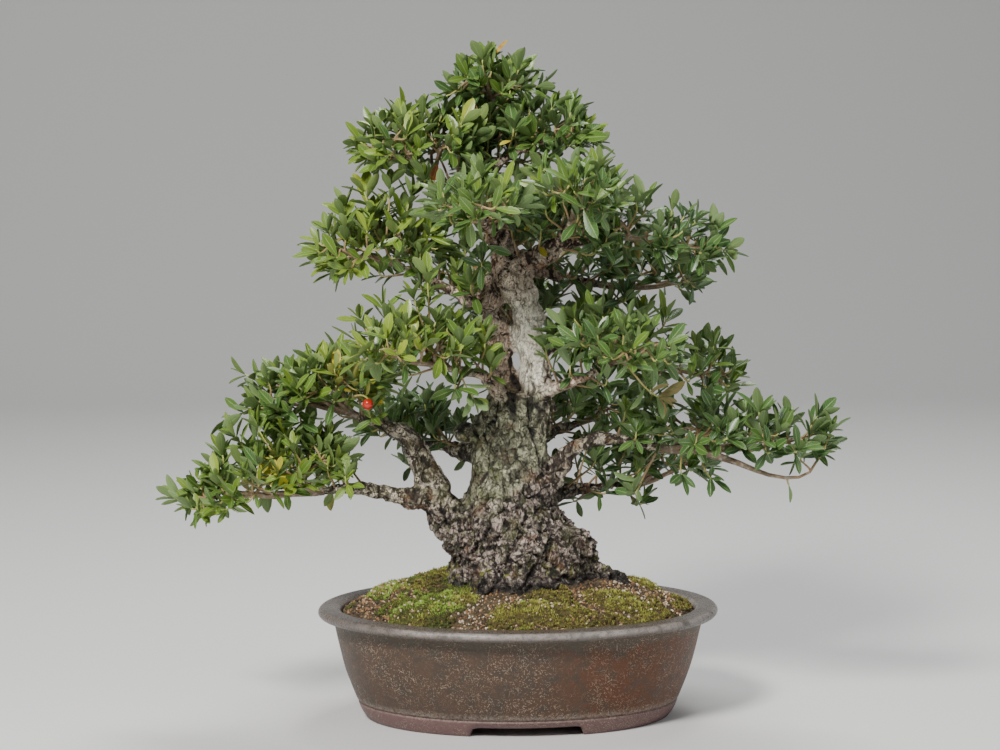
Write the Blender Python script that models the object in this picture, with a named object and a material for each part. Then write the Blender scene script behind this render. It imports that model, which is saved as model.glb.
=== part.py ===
"""Mastic tree bonsai: a gnarled old trunk with its limbs, leafy sprays at the limbs' ends, a berry,
and a shallow oval clay pot filled with soil and moss.

The row frame has +Z up and its origin on the surface that the pot stands on, below the middle of the
whole object. +X runs along the pot's length and -Y faces the viewer. Every size below is in
millimetres and is turned to metres where a mesh is made.
"""

import math

import bmesh
import bpy
import numpy as np
from mathutils import Matrix, Vector, noise

MM = 0.001
GAP = 0.4  # clearance between pieces that touch on the real plant
CURVE_WELD = 0.01
GOLDEN_TURN = math.radians(137.508)
UP = np.array([0.0, 0.0, 1.0])

# Pot: an oval with a rolled lip, plain walls, and a cut band as its foot.
POT_CENTRE = np.array([10.0, 0.0, 0.0])
POT_LENGTH = 252.0
POT_DEPTH = 196.0
POT_SIDES = 40
RIM_TOP = 70.0
FLOOR_UNDER = 6.5
FLOOR_TOP = 13.5
NOTCH_WIDTH = 70.0
NOTCH_HEIGHT = 5.5
NOTCH_SLANT = 2.0
DRAIN_RADIUS = 8.0
DRAIN_OFFSET = 46.0
# How far each edge of a section lies inside the lip's outer edge, and its height.
POT_OUTSIDE = [
    (3.0, RIM_TOP), (0.6, 68.8), (0.0, 66.8), (1.4, 64.2), (9.8, 63.2), (12.9, 48.0), (17.6, 29.5),
    (24.6, 11.8), (26.2, 11.0), (25.2, 10.0), (27.4, 5.0), (31.0, 0.0),
]
POT_BOWL = [(35.0, FLOOR_TOP), (22.0, 35.0), (15.8, 63.0), (14.2, 68.8), (12.8, RIM_TOP), (12.8, 75.0)]
POT_RECESS = [(39.5, -5.0), (39.5, 0.0), (41.0, FLOOR_UNDER)]

# Soil: fills the pot and rises to a mound at the trunk.
WALL_INSET = 15.8  # the soil's edge lies this far inside the lip's outer edge
SOIL_EDGE = 67.0
SOIL_RISE = 27.0
SOIL_TILT = 5.0  # how much more it rises behind the trunk than in front
SOIL_GRAIN = 1.1
GRAIN_SIZE = 9.0
SOIL_RINGS = [1.0, 0.84, 0.62, 0.38]  # the mound's rings against the pot's inside

# Drainage screens: plastic net laid over each hole in the pot's floor.
SCREEN_SIDE = 25.0
SCREEN_THICKNESS = 1.4
SCREEN_CELLS = 2
SCREEN_BAR = 2.2
SCREEN_BOTTOM = FLOOR_TOP + 0.3
SCREEN_TOP = SCREEN_BOTTOM + SCREEN_THICKNESS

# Moss cushions: middle x and y, then half length, half depth and height above the soil.
MOSS = {
    "front_left": (-46.0, -45.0, 29.0, 15.0, 4.8),
    "front": (14.0, -63.0, 27.0, 12.5, 4.2),
    "front_right": (70.0, -42.0, 25.0, 13.0, 4.4),
    "right": (92.0, 12.0, 13.0, 21.0, 3.6),
    "left": (-72.0, 8.0, 15.0, 23.0, 4.2),
    "back_right": (42.0, 60.0, 32.0, 11.0, 4.0),
}
MOSS_SIDES = 12
# A cushion's rings: how far out each is, and its height against the cushion's, or its depth if below zero.
MOSS_RINGS = [(0.6, -1.0), (1.0, 0.06), (0.78, 0.7), (0.4, 1.0)]
MOSS_ROOM = [(0.6, -1.0), (1.0, -0.04), (1.0, 2.5)]  # the room cut for it, which is open upwards
MOSS_DEPTH = 2.2  # how deep a cushion sits in the soil
MOSS_WAVE = 0.14
MOSS_KNOBS = 0.8

# Trunk: at each height its left, right, front and back edges.
TRUNK_SECTIONS = [
    (44.0, -34.0, 58.0, -40.0, 38.0),
    (80.0, -38.0, 62.0, -44.0, 40.0),
    (93.0, -33.0, 57.0, -38.0, 36.0),
    (100.0, -32.0, 55.0, -36.0, 35.0),
    (114.0, -33.0, 53.0, -35.0, 34.0),
    (123.0, -30.0, 43.0, -32.0, 31.0),
    (132.0, -27.0, 34.0, -28.0, 28.0),
    (150.0, -21.0, 29.0, -24.0, 24.0),
    (168.0, -19.0, 29.0, -22.0, 22.0),
    (181.0, -21.0, 29.0, -21.0, 21.0),
    (192.0, -14.0, 29.0, -19.0, 20.0),
    (206.0, -8.0, 31.0, -16.0, 17.0),
]
TRUNK_SIDES = 32
TRUNK_HEIGHTS = [44.0, 80.0, 93.0, *np.linspace(99.5, 206.0, 16)]
HOLE_HEIGHTS = [44.0, 80.0, 93.0, 100.0]
BARK_START = 93.0  # the trunk is plain below this height, where it stands in the soil
BARK_FADE = 8.0  # the height over which its relief then grows
BURL_SIZE = 19.0  # spacing of the swellings, and below of the plates of bark
BURL_HEIGHT = 4.4
PLATE_SIZE = 11.5
PLATE_HEIGHT = 2.6
SMOOTHER_ABOVE = 150.0  # younger bark is smoother

# Surface roots: heading from the trunk in degrees, reach from its middle, thickness, height on the flare.
ROOTS = [(-6.0, 78.0, 9.0, 96.0), (-60.0, 62.0, 8.0, 91.0), (-118.0, 56.0, 8.0, 90.0),
         (172.0, 56.0, 8.0, 93.0), (112.0, 54.0, 8.0, 94.0), (40.0, 64.0, 8.0, 94.0)]
ROOT_MIDDLE = (10.0, 0.0)
ROOT_SINK = 7.0  # how far below the soil a root's end lies
ROOT_TAPER = (1.25, 0.5)
SQUARE_ROUND_CIRCLE = 1.42  # a square hole's corner radius against that of what stands in it

THICK_LIMBS = ("stem_right", "stem_left", "left_low", "left_lowest", "right_low")
THICK = 13.0
KNOT_SIZE = 12.0
KNOT_HEIGHT = 0.14
# Limbs: points along each, from inside what it grows from to the end that bears its spray, and its
# radius at each.
LIMBS = {
    "stem_right": [(21, -2, 192, 14), (20, -2, 217, 11.2), (17, -1, 237, 10), (13, -1, 259, 10), (6, 2, 277, 12),
                   (-1, 6, 299, 9.5), (-7, 9, 320, 7.5), (-11, 7, 345, 6), (-9, 3, 366, 4), (-6, 1, 386, 2.6)],
    "stem_left": [(2, 5, 194, 10), (-1, 5, 218, 7.8), (-5, 4, 238, 7.2), (-7, 4, 257, 8.6), (-2, 3, 274, 9.4),
                  (4, 3, 286, 8)],
    "left_low": [(-10, 1, 106, 17), (-32, 2, 123, 13.5), (-42, 0, 139, 11), (-48, -1, 155, 9.4),
                 (-54, -2, 169, 8.2), (-62, -3, 179, 6.6), (-75, -4, 185, 4.6), (-92, -5, 191, 3.2)],
    "left_lowest": [(-40, 0, 137, 9), (-57, -4, 139, 6.6), (-75, -8, 143, 5.4), (-93, -13, 147, 4.4),
                    (-114, -15, 145, 3.2)],
    "right_low": [(16, 3, 128, 12), (31, -2, 151, 8.4), (39, -8, 166, 6.6), (54, -13, 175, 5.8),
                  (73, -18, 176, 4.8), (96, -24, 171, 3.6)],
    "right_back": [(18, 6, 136, 8), (46, 24, 139, 5.2), (72, 44, 138, 3.8), (88, 52, 137, 3)],
    "upper_left": [(-3, 3, 262, 8), (-17, -1, 262, 5.6), (-34, -4, 269, 4.6), (-52, -8, 278, 3.4),
                   (-64, -10, 284, 2.8)],
    "upper_right": [(3, 2, 280, 10), (16, -11, 288, 7.2), (31, -21, 297, 5.8), (50, -25, 300, 4.2),
                    (66, -29, 302, 3.2)],
    "mid_left": [(4, -6, 198, 7), (-14, -26, 218, 4), (-32, -42, 223, 3.2), (-44, -50, 226, 2.6)],
    "mid_right": [(24, -8, 204, 7), (37, -30, 212, 4.4), (50, -44, 219, 3.2), (58, -50, 224, 2.6)],
    "right_mid": [(18, 3, 226, 7), (46, 24, 235, 4.2), (78, 36, 233, 3.2), (98, 40, 223, 2.6)],
    "apex_left": [(-9, 8, 326, 6), (-24, 2, 331, 3.6), (-38, -4, 337, 2.8)],
    "apex_right": [(-10, 7, 342, 5), (6, -2, 352, 3.2), (20, -8, 358, 2.6)],
    "apex_back": [(-10, 7, 344, 4.6), (-7, 30, 354, 3), (-5, 46, 361, 2.4)],
    "upper_back": [(0, 6, 290, 7), (10, 42, 294, 4), (19, 62, 296, 3)],
    "upper_front": [(-4, 6, 307, 6), (-12, -32, 309, 3.6), (-17, -56, 314, 2.8)],
    "upper_fork": [(31, -21, 297, 4.6), (36, -38, 308, 3.2), (39, -48, 315, 2.6)],
    "upper_right_back": [(4, 6, 281, 8), (30, 29, 276, 4.6), (58, 40, 269, 3.6), (80, 45, 266, 2.8)],
    "mid_back": [(12, 3, 240, 8), (11, 46, 242, 4.4), (9, 66, 244, 3)],
    "left_back": [(-4, 8, 163, 10), (-32, 46, 164, 5), (-48, 74, 165, 3.4)],
    "back_low": [(14, 8, 173, 10), (40, 44, 175, 4.6), (54, 66, 176, 3.2)],
}

# Sprays: the limb that bears each, its middle, its half sizes outwards, across and upwards, and its droop
# in degrees.
SPRAYS = {
    "apex": ("stem_right", (-6, 1, 396), (28, 27, 34), 0),
    "apex_left": ("apex_left", (-56, -8, 357), (43, 34, 34), 8),
    "apex_right": ("apex_right", (31, -12, 364), (33, 31, 30), 8),
    "apex_back": ("apex_back", (-3, 63, 370), (34, 34, 27), 10),
    "upper_left": ("upper_left", (-84, -12, 294), (43, 37, 36), 8),
    "upper_front": ("upper_front", (-22, -87, 325), (36, 37, 27), 12),
    "upper_right": ("upper_right", (92, -33, 303), (55, 38, 31), 16),
    "upper_right_front": ("upper_fork", (43, -73, 331), (36, 37, 28), 14),
    "upper_back": ("upper_back", (32, 81, 305), (36, 40, 28), 10),
    "upper_right_back": ("upper_right_back", (106, 52, 271), (40, 32, 25), 10),
    "mid_left": ("mid_left", (-61, -63, 238), (54, 38, 29), 4),
    "mid_right": ("mid_right", (66, -66, 239), (51, 38, 32), 8),
    "left_mid": ("left_low", (-116, -7, 206), (48, 36, 34), 14),
    "left_low": ("left_lowest", (-150, -20, 151), (59, 37, 31), 16),
    "left_back": ("left_back", (-58, 82, 172), (36, 40, 27), 8),
    "right_mid": ("right_mid", (126, 42, 210), (40, 34, 30), 8),
    "right_low": ("right_low", (146, -36, 179), (65, 38, 31), 8),
    "right_back": ("right_back", (114, 69, 150), (38, 34, 23), 8),
    "mid_back": ("mid_back", (6, 84, 253), (36, 42, 29), 8),
    "back_low": ("back_low", (68, 80, 184), (32, 38, 24), 8),
}
UNDERSIDE = 0.65  # a spray is flatter below its middle than above it
TRUNK_X = 8.0  # sprays point away from here
LOWEST_SHOOT = -0.5  # the rise of the lowest shoot's direction and of the highest's
HIGHEST_SHOOT = 0.98
LEAF_LENGTH = 18.0
LEAF_WIDTH = 6.6
LEAF_THICKNESS = 0.9
LEAF_ARCH = 0.06
LEAF_WIDEST = 0.6  # how far along a leaf its widest part lies
LEAF_LEANS = (14.0, 46.0, 60.0, 72.0)  # how far a shoot's end leaf and its side leaves lean from its axis
LEAF_REACH = 0.62 * LEAF_LENGTH  # how far leaves stand out past their shoot's end
CORE_SHARE = 0.58  # the twiggy middle of a spray against the ellipsoid of its shoots' ends
CORE_LEAST = 0.17
CORE_ROUGHNESS = 0.34
LUMP_SIZE = 7.0
SHOOT_RADIUS = 1.5
SHOOT_TAPER = 0.8
SHOOT_START = 0.3  # where a shoot starts between its spray's middle and its own end
SHOOT_LIFT = 0.3  # how strongly shoots turn up to the light
NODE_LENGTH = 3.0  # the stretch of a shoot that its side leaves grow from
AREA_PER_SHOOT = 1760.0
OWN_MARGIN = 0.045  # keeps neighbouring sprays apart
LEAF_CLEAR = 1.6  # keeps leaves, and below the twiggy middles, off the wood
CORE_CLEAR = 1.5
NEAR = 1.25

# Berry: one ripe fruit at the end of a twig of the left spray.
BERRY_RADIUS = 3.3
BERRY_CENTRE = np.array([-85.0, -31.0, 201.0])
BERRY_STRETCH = 1.06
BERRY_TWIG = [(-100.0, -6.0, 197.5), (-96.0, -18.0, 204.0), (-88.0, -28.0, 208.0)]
TWIG_RADIUS = 1.1


def clear_scene():
    for obj in list(bpy.data.objects):
        bpy.data.objects.remove(obj)


def make_material(name, colour, roughness):
    finish = bpy.data.materials.new(name)
    finish.use_nodes = True
    shader = finish.node_tree.nodes["Principled BSDF"]
    shader.inputs["Base Color"].default_value = (*colour, 1.0)
    shader.inputs["Roughness"].default_value = roughness
    return finish


def collection(name):
    made = bpy.data.collections.new(name)
    bpy.context.scene.collection.children.link(made)
    return made


def add_shape(name, shape, into):
    """A mesh object from a bmesh, which is freed."""
    mesh = bpy.data.meshes.new(name)
    shape.to_mesh(mesh)
    shape.free()
    obj = bpy.data.objects.new(name, mesh)
    into.objects.link(obj)
    return obj


def add_mesh(name, points, faces, into):
    """A mesh object from points in millimetres, with its faces turned to point outwards."""
    mesh = bpy.data.meshes.new(name)
    mesh.from_pydata((np.asarray(points, float) * MM).tolist(), [], faces)
    shape = bmesh.new()
    shape.from_mesh(mesh)
    bpy.data.meshes.remove(mesh)
    bmesh.ops.recalc_face_normals(shape, faces=shape.faces)
    return add_shape(name, shape, into)


def loft(name, rings, into):
    """A skin over rings of points, capped at both ends."""
    sides = len(rings[0])
    faces = [tuple(range(sides)), tuple(range((len(rings) - 1) * sides, len(rings) * sides))]
    for row in range(len(rings) - 1):
        low, high = row * sides, (row + 1) * sides
        for i in range(sides):
            j = (i + 1) % sides
            faces.append((low + i, low + j, high + j, high + i))
    return add_mesh(name, np.concatenate(rings), faces, into)


def smooth_line(points, steps):
    """The points joined by a Catmull-Rom curve, with this many steps between each two."""
    p = np.asarray(points, float)
    ends = np.vstack([2 * p[0] - p[1], p, 2 * p[-1] - p[-2]])
    t = (np.arange(steps) / steps)[:, None]
    runs = []
    for a, b, c, d in zip(ends, ends[1:], ends[2:], ends[3:]):
        bend = 2 * a - 5 * b + 4 * c - d
        runs.append(b + 0.5 * ((c - a) * t + bend * t**2 + (3 * b - a - 3 * c + d) * t**3))
    return np.vstack([*runs, p[-1:]])


def tube(name, line, radii, resolution, into):
    """A curve bevelled to these radii, made a mesh with its caps welded on."""
    curve = bpy.data.curves.new(name, "CURVE")
    curve.dimensions = "3D"
    curve.bevel_depth = MM
    curve.bevel_resolution = resolution
    curve.use_fill_caps = True
    spline = curve.splines.new("POLY")
    spline.points.add(len(line) - 1)
    for point, place, radius in zip(spline.points, line, radii):
        point.co = (*(Vector(place) * MM), 1.0)
        point.radius = radius
    guide = bpy.data.objects.new(name, curve)
    into.objects.link(guide)
    bpy.context.view_layer.update()
    mesh = bpy.data.meshes.new_from_object(guide.evaluated_get(bpy.context.evaluated_depsgraph_get()))
    bpy.data.objects.remove(guide)
    shape = bmesh.new()
    shape.from_mesh(mesh)
    bpy.data.meshes.remove(mesh)
    bmesh.ops.remove_doubles(shape, verts=shape.verts, dist=CURVE_WELD * MM)
    bmesh.ops.recalc_face_normals(shape, faces=shape.faces)
    return add_shape(name, shape, into)


def combine(obj, others, operation, solver="EXACT"):
    """Applies one Boolean of obj with a collection of the others, which are then removed."""
    group = collection("joined_or_cut_away")
    for other in others:
        for owner in list(other.users_collection):
            owner.objects.unlink(other)
        group.objects.link(other)
        other.hide_render = True
        other.display_type = "WIRE"
    joined = obj.modifiers.new("join", "BOOLEAN")
    joined.operation = operation
    joined.operand_type = "COLLECTION"
    joined.collection = group
    joined.solver = solver
    bpy.context.view_layer.update()
    mesh = bpy.data.meshes.new_from_object(obj.evaluated_get(bpy.context.evaluated_depsgraph_get()))
    obj.modifiers.clear()
    obj.data = mesh
    for other in others:
        bpy.data.objects.remove(other)
    bpy.data.collections.remove(group)


def keep_largest(obj):
    """Drops the loose scraps that a cut leaves beside the piece itself."""
    shape = bmesh.new()
    shape.from_mesh(obj.data)
    unseen = set(shape.faces)
    islands = []
    while unseen:
        first = unseen.pop()
        reached = {first}
        front = [first]
        while front:
            for edge in front.pop().edges:
                for face in edge.link_faces if len(edge.link_faces) == 2 else ():
                    if face not in reached:
                        reached.add(face)
                        front.append(face)
        unseen -= reached
        islands.append(reached)
    largest = max(islands, key=len)
    bmesh.ops.delete(shape, geom=[f for f in shape.faces if f not in largest], context="FACES")
    shape.to_mesh(obj.data)
    shape.free()


def finish_piece(obj, name, finish, angle=40.0):
    """Names a piece, gives it its material and shades its round faces smooth."""
    obj.name = name
    obj.data.materials.clear()
    obj.data.materials.append(finish)
    obj.data.shade_smooth()
    obj.data.set_sharp_from_angle(angle=math.radians(angle))


def unit(vector):
    return vector / np.linalg.norm(vector)


def turn(sides):
    """Evenly spaced angles for one ring."""
    return np.linspace(0.0, 2 * math.pi, sides, endpoint=False)


def oval(inset, height):
    """A ring of the pot at this distance inside the lip's outer edge."""
    angle = turn(POT_SIDES)
    length, depth = POT_LENGTH / 2 - inset, POT_DEPTH / 2 - inset
    ring = np.stack([length * np.cos(angle), depth * np.sin(angle), np.full(POT_SIDES, height)], axis=1)
    return ring + POT_CENTRE


def cylinder(name, centre, radius, low, high, into, sides=16):
    """An upright cylinder primitive between two heights."""
    shape = bmesh.new()
    place = Matrix.Translation(Vector((centre[0], centre[1], (low + high) / 2)) * MM)
    bmesh.ops.create_cone(shape, cap_ends=True, segments=sides, radius1=radius * MM, radius2=radius * MM,
                          depth=(high - low) * MM, matrix=place)
    return add_shape(name, shape, into)


def box(name, low, high, into):
    """A box primitive between two corners."""
    low, high = np.asarray(low, float), np.asarray(high, float)
    shape = bmesh.new()
    place = Matrix.Translation(Vector((low + high) / 2 * MM)) @ Matrix.Diagonal((*((high - low) * MM), 1.0))
    bmesh.ops.create_cube(shape, size=1.0, matrix=place)
    return add_shape(name, shape, into)


def drain_centres():
    return [POT_CENTRE + np.array([side * DRAIN_OFFSET, 0.0, 0.0]) for side in (-1, 1)]


def build_pot(parts, finish):
    """The oval shell, with its drainage holes and the notch that parts its foot band at front and back."""
    pot = loft("pot", [oval(inset, height) for inset, height in POT_OUTSIDE], parts)
    bowl = loft("bowl", [oval(inset, height) for inset, height in POT_BOWL], parts)
    recess = loft("recess", [oval(inset, height) for inset, height in POT_RECESS], parts)
    half, slant = NOTCH_WIDTH / 2, NOTCH_SLANT
    outline = [(-half, -5.0), (half, -5.0), (half - slant, NOTCH_HEIGHT), (slant - half, NOTCH_HEIGHT)]
    ends = [np.array([(x + POT_CENTRE[0], y, z) for x, z in outline]) for y in (-POT_DEPTH, POT_DEPTH)]
    notch = loft("notch", ends, parts)
    drains = [cylinder("drain", c, DRAIN_RADIUS, 0.0, FLOOR_TOP + 5.0, parts) for c in drain_centres()]
    combine(pot, [bowl, recess], "DIFFERENCE")
    combine(pot, [notch, *drains], "DIFFERENCE")
    finish_piece(pot, "pot", finish)


def soil_height(x, y):
    """The mound's height: just under the lip at the pot's wall and highest at the trunk."""
    across, deep = x - POT_CENTRE[0], y - POT_CENTRE[1]
    length, depth = POT_LENGTH / 2 - WALL_INSET, POT_DEPTH / 2 - WALL_INSET
    out = (across / length) ** 2 + (deep / depth) ** 2
    return SOIL_EDGE + (SOIL_RISE + SOIL_TILT * deep / depth) * np.clip(1.0 - out, 0.0, 1.0)


def rough(points, size, seed=0.0):
    """Smooth noise from -1 to 1 at each point, with swellings of this size."""
    return np.array([noise.noise(Vector((p / size + seed).tolist())) for p in np.asarray(points, float)])


def build_soil(parts, cutters, finish):
    """The soil's body with a grainy mound on top, cut to leave room for what stands or sits in it."""
    rings = [oval(inset + GAP, height + (GAP if height == FLOOR_TOP else 0.0)) for inset, height in POT_BOWL[:2]]
    for share in SOIL_RINGS:
        ring = POT_CENTRE + (oval(WALL_INSET + GAP, 0.0) - POT_CENTRE) * share
        ring[:, 2] = soil_height(ring[:, 0], ring[:, 1])
        ring[:, 2] += SOIL_GRAIN * rough(ring, GRAIN_SIZE) * (share < 1.0)
        rings.append(ring)
    soil = loft("soil", rings, parts)
    combine(soil, cutters, "DIFFERENCE")
    keep_largest(soil)
    finish_piece(soil, "soil", finish)


def cushion(name, place, grow, into):
    """A moss cushion that follows the soil below it, with a wavy edge and a knobbly top, or the room for it."""
    x, y, half_x, half_y, height = place
    angle = turn(MOSS_SIDES)
    ways = np.column_stack([np.cos(angle), np.sin(angle), np.zeros(MOSS_SIDES)])
    wave = 1.0 + MOSS_WAVE * rough(ways * 20.0 + (x, y, 0.0), 14.0)
    rings = []
    for share, lift in MOSS_ROOM if grow else MOSS_RINGS:
        out = ways[:, :2] * (half_x + grow, half_y + grow) * (wave * share)[:, None] + (x, y)
        rise = (MOSS_DEPTH if lift <= -1.0 else height) * lift - grow * (lift < 1.0)
        knobs = MOSS_KNOBS * rough(np.column_stack([out, np.zeros(MOSS_SIDES)]), 6.0) * (lift > 0.5)
        rings.append(np.column_stack([out, soil_height(out[:, 0], out[:, 1]) + rise + knobs]))
    return loft(name, rings, into)


def build_screen(name, centre, parts, finish):
    """A square of plastic net over one drainage hole."""
    half = SCREEN_SIDE / 2
    low, high = SCREEN_BOTTOM, SCREEN_TOP
    corner = np.array([half, half, 0.0])
    screen = box(name, centre - corner + UP * low, centre + corner + UP * high, parts)
    pitch = (SCREEN_SIDE - SCREEN_BAR) / SCREEN_CELLS
    holes = []
    for i in range(SCREEN_CELLS):
        for j in range(SCREEN_CELLS):
            x = centre[0] - half + SCREEN_BAR + i * pitch
            y = centre[1] - half + SCREEN_BAR + j * pitch
            side = pitch - SCREEN_BAR
            holes.append(box("hole", (x, y, low - 1.0), (x + side, y + side, high + 1.0), parts))
    combine(screen, holes, "DIFFERENCE")
    finish_piece(screen, name, finish)


def bark(points):
    """How far bark stands out at each point: broad burls, and plates with furrows between them."""
    points = np.asarray(points, float)
    height = points[:, 2]
    burls = rough(points, BURL_SIZE, 3.0)
    plates = np.array([noise.voronoi(Vector((p / PLATE_SIZE).tolist()))[0] for p in points])
    furrow = np.clip((plates[:, 1] - plates[:, 0]) / 0.35, 0.0, 1.0) - 0.6
    old = np.clip((SMOOTHER_ABOVE - height) / 60.0, 0.0, 1.0)
    relief = burls * BURL_HEIGHT * (0.35 + 0.65 * old) + furrow * PLATE_HEIGHT * (0.55 + 0.45 * old)
    return relief * np.clip((height - BARK_START) / BARK_FADE, 0.0, 1.0)


def trunk_loft(name, heights, grow, into):
    """The trunk's skin through its sections, with the bark's relief, made larger all round by grow."""
    sections = np.array(TRUNK_SECTIONS)
    angle = turn(TRUNK_SIDES)
    out = np.column_stack([np.cos(angle), np.sin(angle), np.zeros(TRUNK_SIDES)])
    rings = []
    for height in heights:
        left, right, front, back = (np.interp(height, sections[:, 0], sections[:, i]) for i in range(1, 5))
        middle = np.array([(left + right) / 2, (front + back) / 2, height])
        ring = middle + out * ((right - left) / 2, (back - front) / 2, 0.0)
        rings.append(ring + out * (bark(ring) + grow)[:, None])
    rings[0][:, 2] -= grow
    return loft(name, rings, into)


def root_path(root):
    """A root's path and radii: from inside the trunk, over its flare and down into the soil."""
    heading, reach, radius, top = root
    away = np.array([math.cos(math.radians(heading)), math.sin(math.radians(heading))]) * reach
    inner, outer, end = (ROOT_MIDDLE + away * share for share in (0.25, 0.62, 1.0))
    line = smooth_line([(*inner, top), (*outer, top - 6.0), (*end, soil_height(*end) - ROOT_SINK)], 2)
    return line, np.linspace(radius * ROOT_TAPER[0], radius * ROOT_TAPER[1], len(line))


def root_holes(into):
    """Plain square holes that leave each root its room in the soil."""
    holes = []
    for root in ROOTS:
        line, radii = root_path(root)
        line[-1] += unit(line[-1] - line[-2]) * GAP
        holes.append(tube("hole", line, (radii + GAP) * SQUARE_ROUND_CIRCLE, 0, into))
    return holes


def limb_line(name):
    """A limb's path and radii: rounder where it is thick, with knots along it."""
    line = smooth_line(LIMBS[name], 2 if name in THICK_LIMBS else 1)
    knots = 1.0 + KNOT_HEIGHT * rough(line[:, :3], KNOT_SIZE, 7.0) * np.clip(line[:, 3] / 6.0, 0.0, 1.0)
    return line[:, :3], line[:, 3] * knots


def roundness(radii):
    """Twelve sides for a thick limb and eight for a thin one."""
    return 2 if max(radii) > THICK else 1


def build_tree(parts, finish):
    """Trunk, surface roots and limbs, grown together as one piece of wood."""
    wood = trunk_loft("wood", TRUNK_HEIGHTS, 0.0, parts)
    grown = []
    for root in ROOTS:
        line, radii = root_path(root)
        grown.append(tube("root", line, radii, 1, parts))
    for name in LIMBS:
        line, radii = limb_line(name)
        grown.append(tube(name, line, radii, roundness(radii), parts))
    combine(wood, grown, "UNION")
    keep_largest(wood)
    finish_piece(wood, "trunk_and_limbs", finish)


def wood_segments():
    """Every stretch of limb and trunk, and the berry, as a capsule: its two ends and its radius."""
    lines = [limb_line(name) for name in LIMBS]
    sections = np.array(TRUNK_SECTIONS)
    middle = [(sections[:, 1] + sections[:, 2]) / 2, (sections[:, 3] + sections[:, 4]) / 2, sections[:, 0]]
    lines.append((np.column_stack(middle), (sections[:, 2] - sections[:, 1]) / 2 + BURL_HEIGHT))
    lines.append((np.array([BERRY_CENTRE, BERRY_CENTRE + UP]), np.full(2, BERRY_RADIUS)))
    starts = np.concatenate([line[:-1] for line, _ in lines])
    ends = np.concatenate([line[1:] for line, _ in lines])
    radii = np.concatenate([np.maximum(r[:-1], r[1:]) for _, r in lines])
    return starts, ends, radii


def wood_gap(points, segments):
    """The distance from each point to the nearest wood."""
    starts, ends, radii = segments
    along = ends - starts
    rel = np.asarray(points, float)[:, None, :] - starts[None]
    t = np.clip((rel * along).sum(2) / (along * along).sum(1), 0.0, 1.0)
    away = np.linalg.norm(rel - t[:, :, None] * along, axis=2)
    return (away - radii).min(axis=1)


class Shape:
    """A spray's outline: a flattened dome round its middle, turned to point away from the trunk."""

    def __init__(self, name):
        self.limb, middle, half, droop = SPRAYS[name]
        self.name = name
        self.middle = np.array(middle, float)
        self.half = np.array(half, float)
        heading = math.atan2(self.middle[1], self.middle[0] - TRUNK_X)
        turned = Matrix.Rotation(heading, 3, "Z") @ Matrix.Rotation(math.radians(droop), 3, "Y")
        self.axes = np.array(turned)

    def share(self, points):
        """0 at the middle and 1 on the outline, for each point."""
        local = (np.asarray(points, float) - self.middle) @ self.axes
        half = np.where(local[:, 2:] > 0, self.half, self.half * (1.0, 1.0, UNDERSIDE))
        return np.linalg.norm(local / half, axis=1)

    def place(self, direction, inset):
        """The point this far inside the outline, in a direction of the dome's own axes."""
        half = np.maximum(self.half - inset, 6.0)
        flat = half * (1.0, 1.0, UNDERSIDE if direction[2] < 0 else 1.0)
        return self.middle + self.axes @ (flat * direction)


def own(points, shape, shapes):
    """Whether each point lies nearer to this spray's middle than to any other's, by each one's own measure."""
    mine = shape.share(points) + OWN_MARGIN
    others = np.min([other.share(points) for other in shapes if other is not shape], axis=0)
    return mine < others


def even_direction(index):
    """The index-th of a run of directions that covers a dome evenly however many are taken."""
    u = (0.5 + index * 0.7548776662) % 1.0
    v = (0.5 + index * 0.5698402910) % 1.0
    azimuth = 2 * math.pi * u
    rise = LOWEST_SHOOT + (HIGHEST_SHOOT - LOWEST_SHOOT) * v
    flat = math.sqrt(1.0 - rise * rise)
    return np.array([flat * math.cos(azimuth), flat * math.sin(azimuth), rise])


def core(shape, shapes, segments, into):
    """The twiggy middle that a spray's shoots stand out of, drawn in where wood or another spray is near."""
    ball = bmesh.new()
    bmesh.ops.create_icosphere(ball, subdivisions=1, radius=1.0)
    mesh = bpy.data.meshes.new("core")
    ball.to_mesh(mesh)
    ball.free()
    ways = np.array([v.co for v in mesh.vertices], float)
    surface = np.array([shape.place(way, LEAF_REACH) for way in ways])
    lumps = 1.0 + CORE_ROUGHNESS * rough(surface, LUMP_SIZE)
    share = np.full(len(ways), CORE_LEAST)
    for size in np.linspace(CORE_LEAST, CORE_SHARE, 15):
        points = shape.middle + (surface - shape.middle) * (size * lumps)[:, None]
        free = own(points, shape, shapes) & (wood_gap(points, segments) > CORE_CLEAR)
        share = np.where(free, size, share)
    points = shape.middle + (surface - shape.middle) * (share * lumps)[:, None]
    mesh.vertices.foreach_set("co", (points * MM).ravel())
    mesh.update()
    obj = bpy.data.objects.new("core", mesh)
    into.objects.link(obj)
    return obj


def blade(roots, way, length, width):
    """A leaf's points: its left and right edges and its keel where it is widest, and then its tip."""
    left, right, keel = roots
    side = unit(left - right - np.dot(left - right, way) * way)
    face = np.cross(side, way)
    face *= np.sign(np.dot(face, (left + right) / 2 - keel)) or 1.0
    foot = (left + right) / 2
    spot = foot + way * length * LEAF_WIDEST + face * length * LEAF_ARCH
    across = side * width / 2
    return np.array([spot + across, spot - across, spot - face * LEAF_THICKNESS, foot + way * length])


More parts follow.
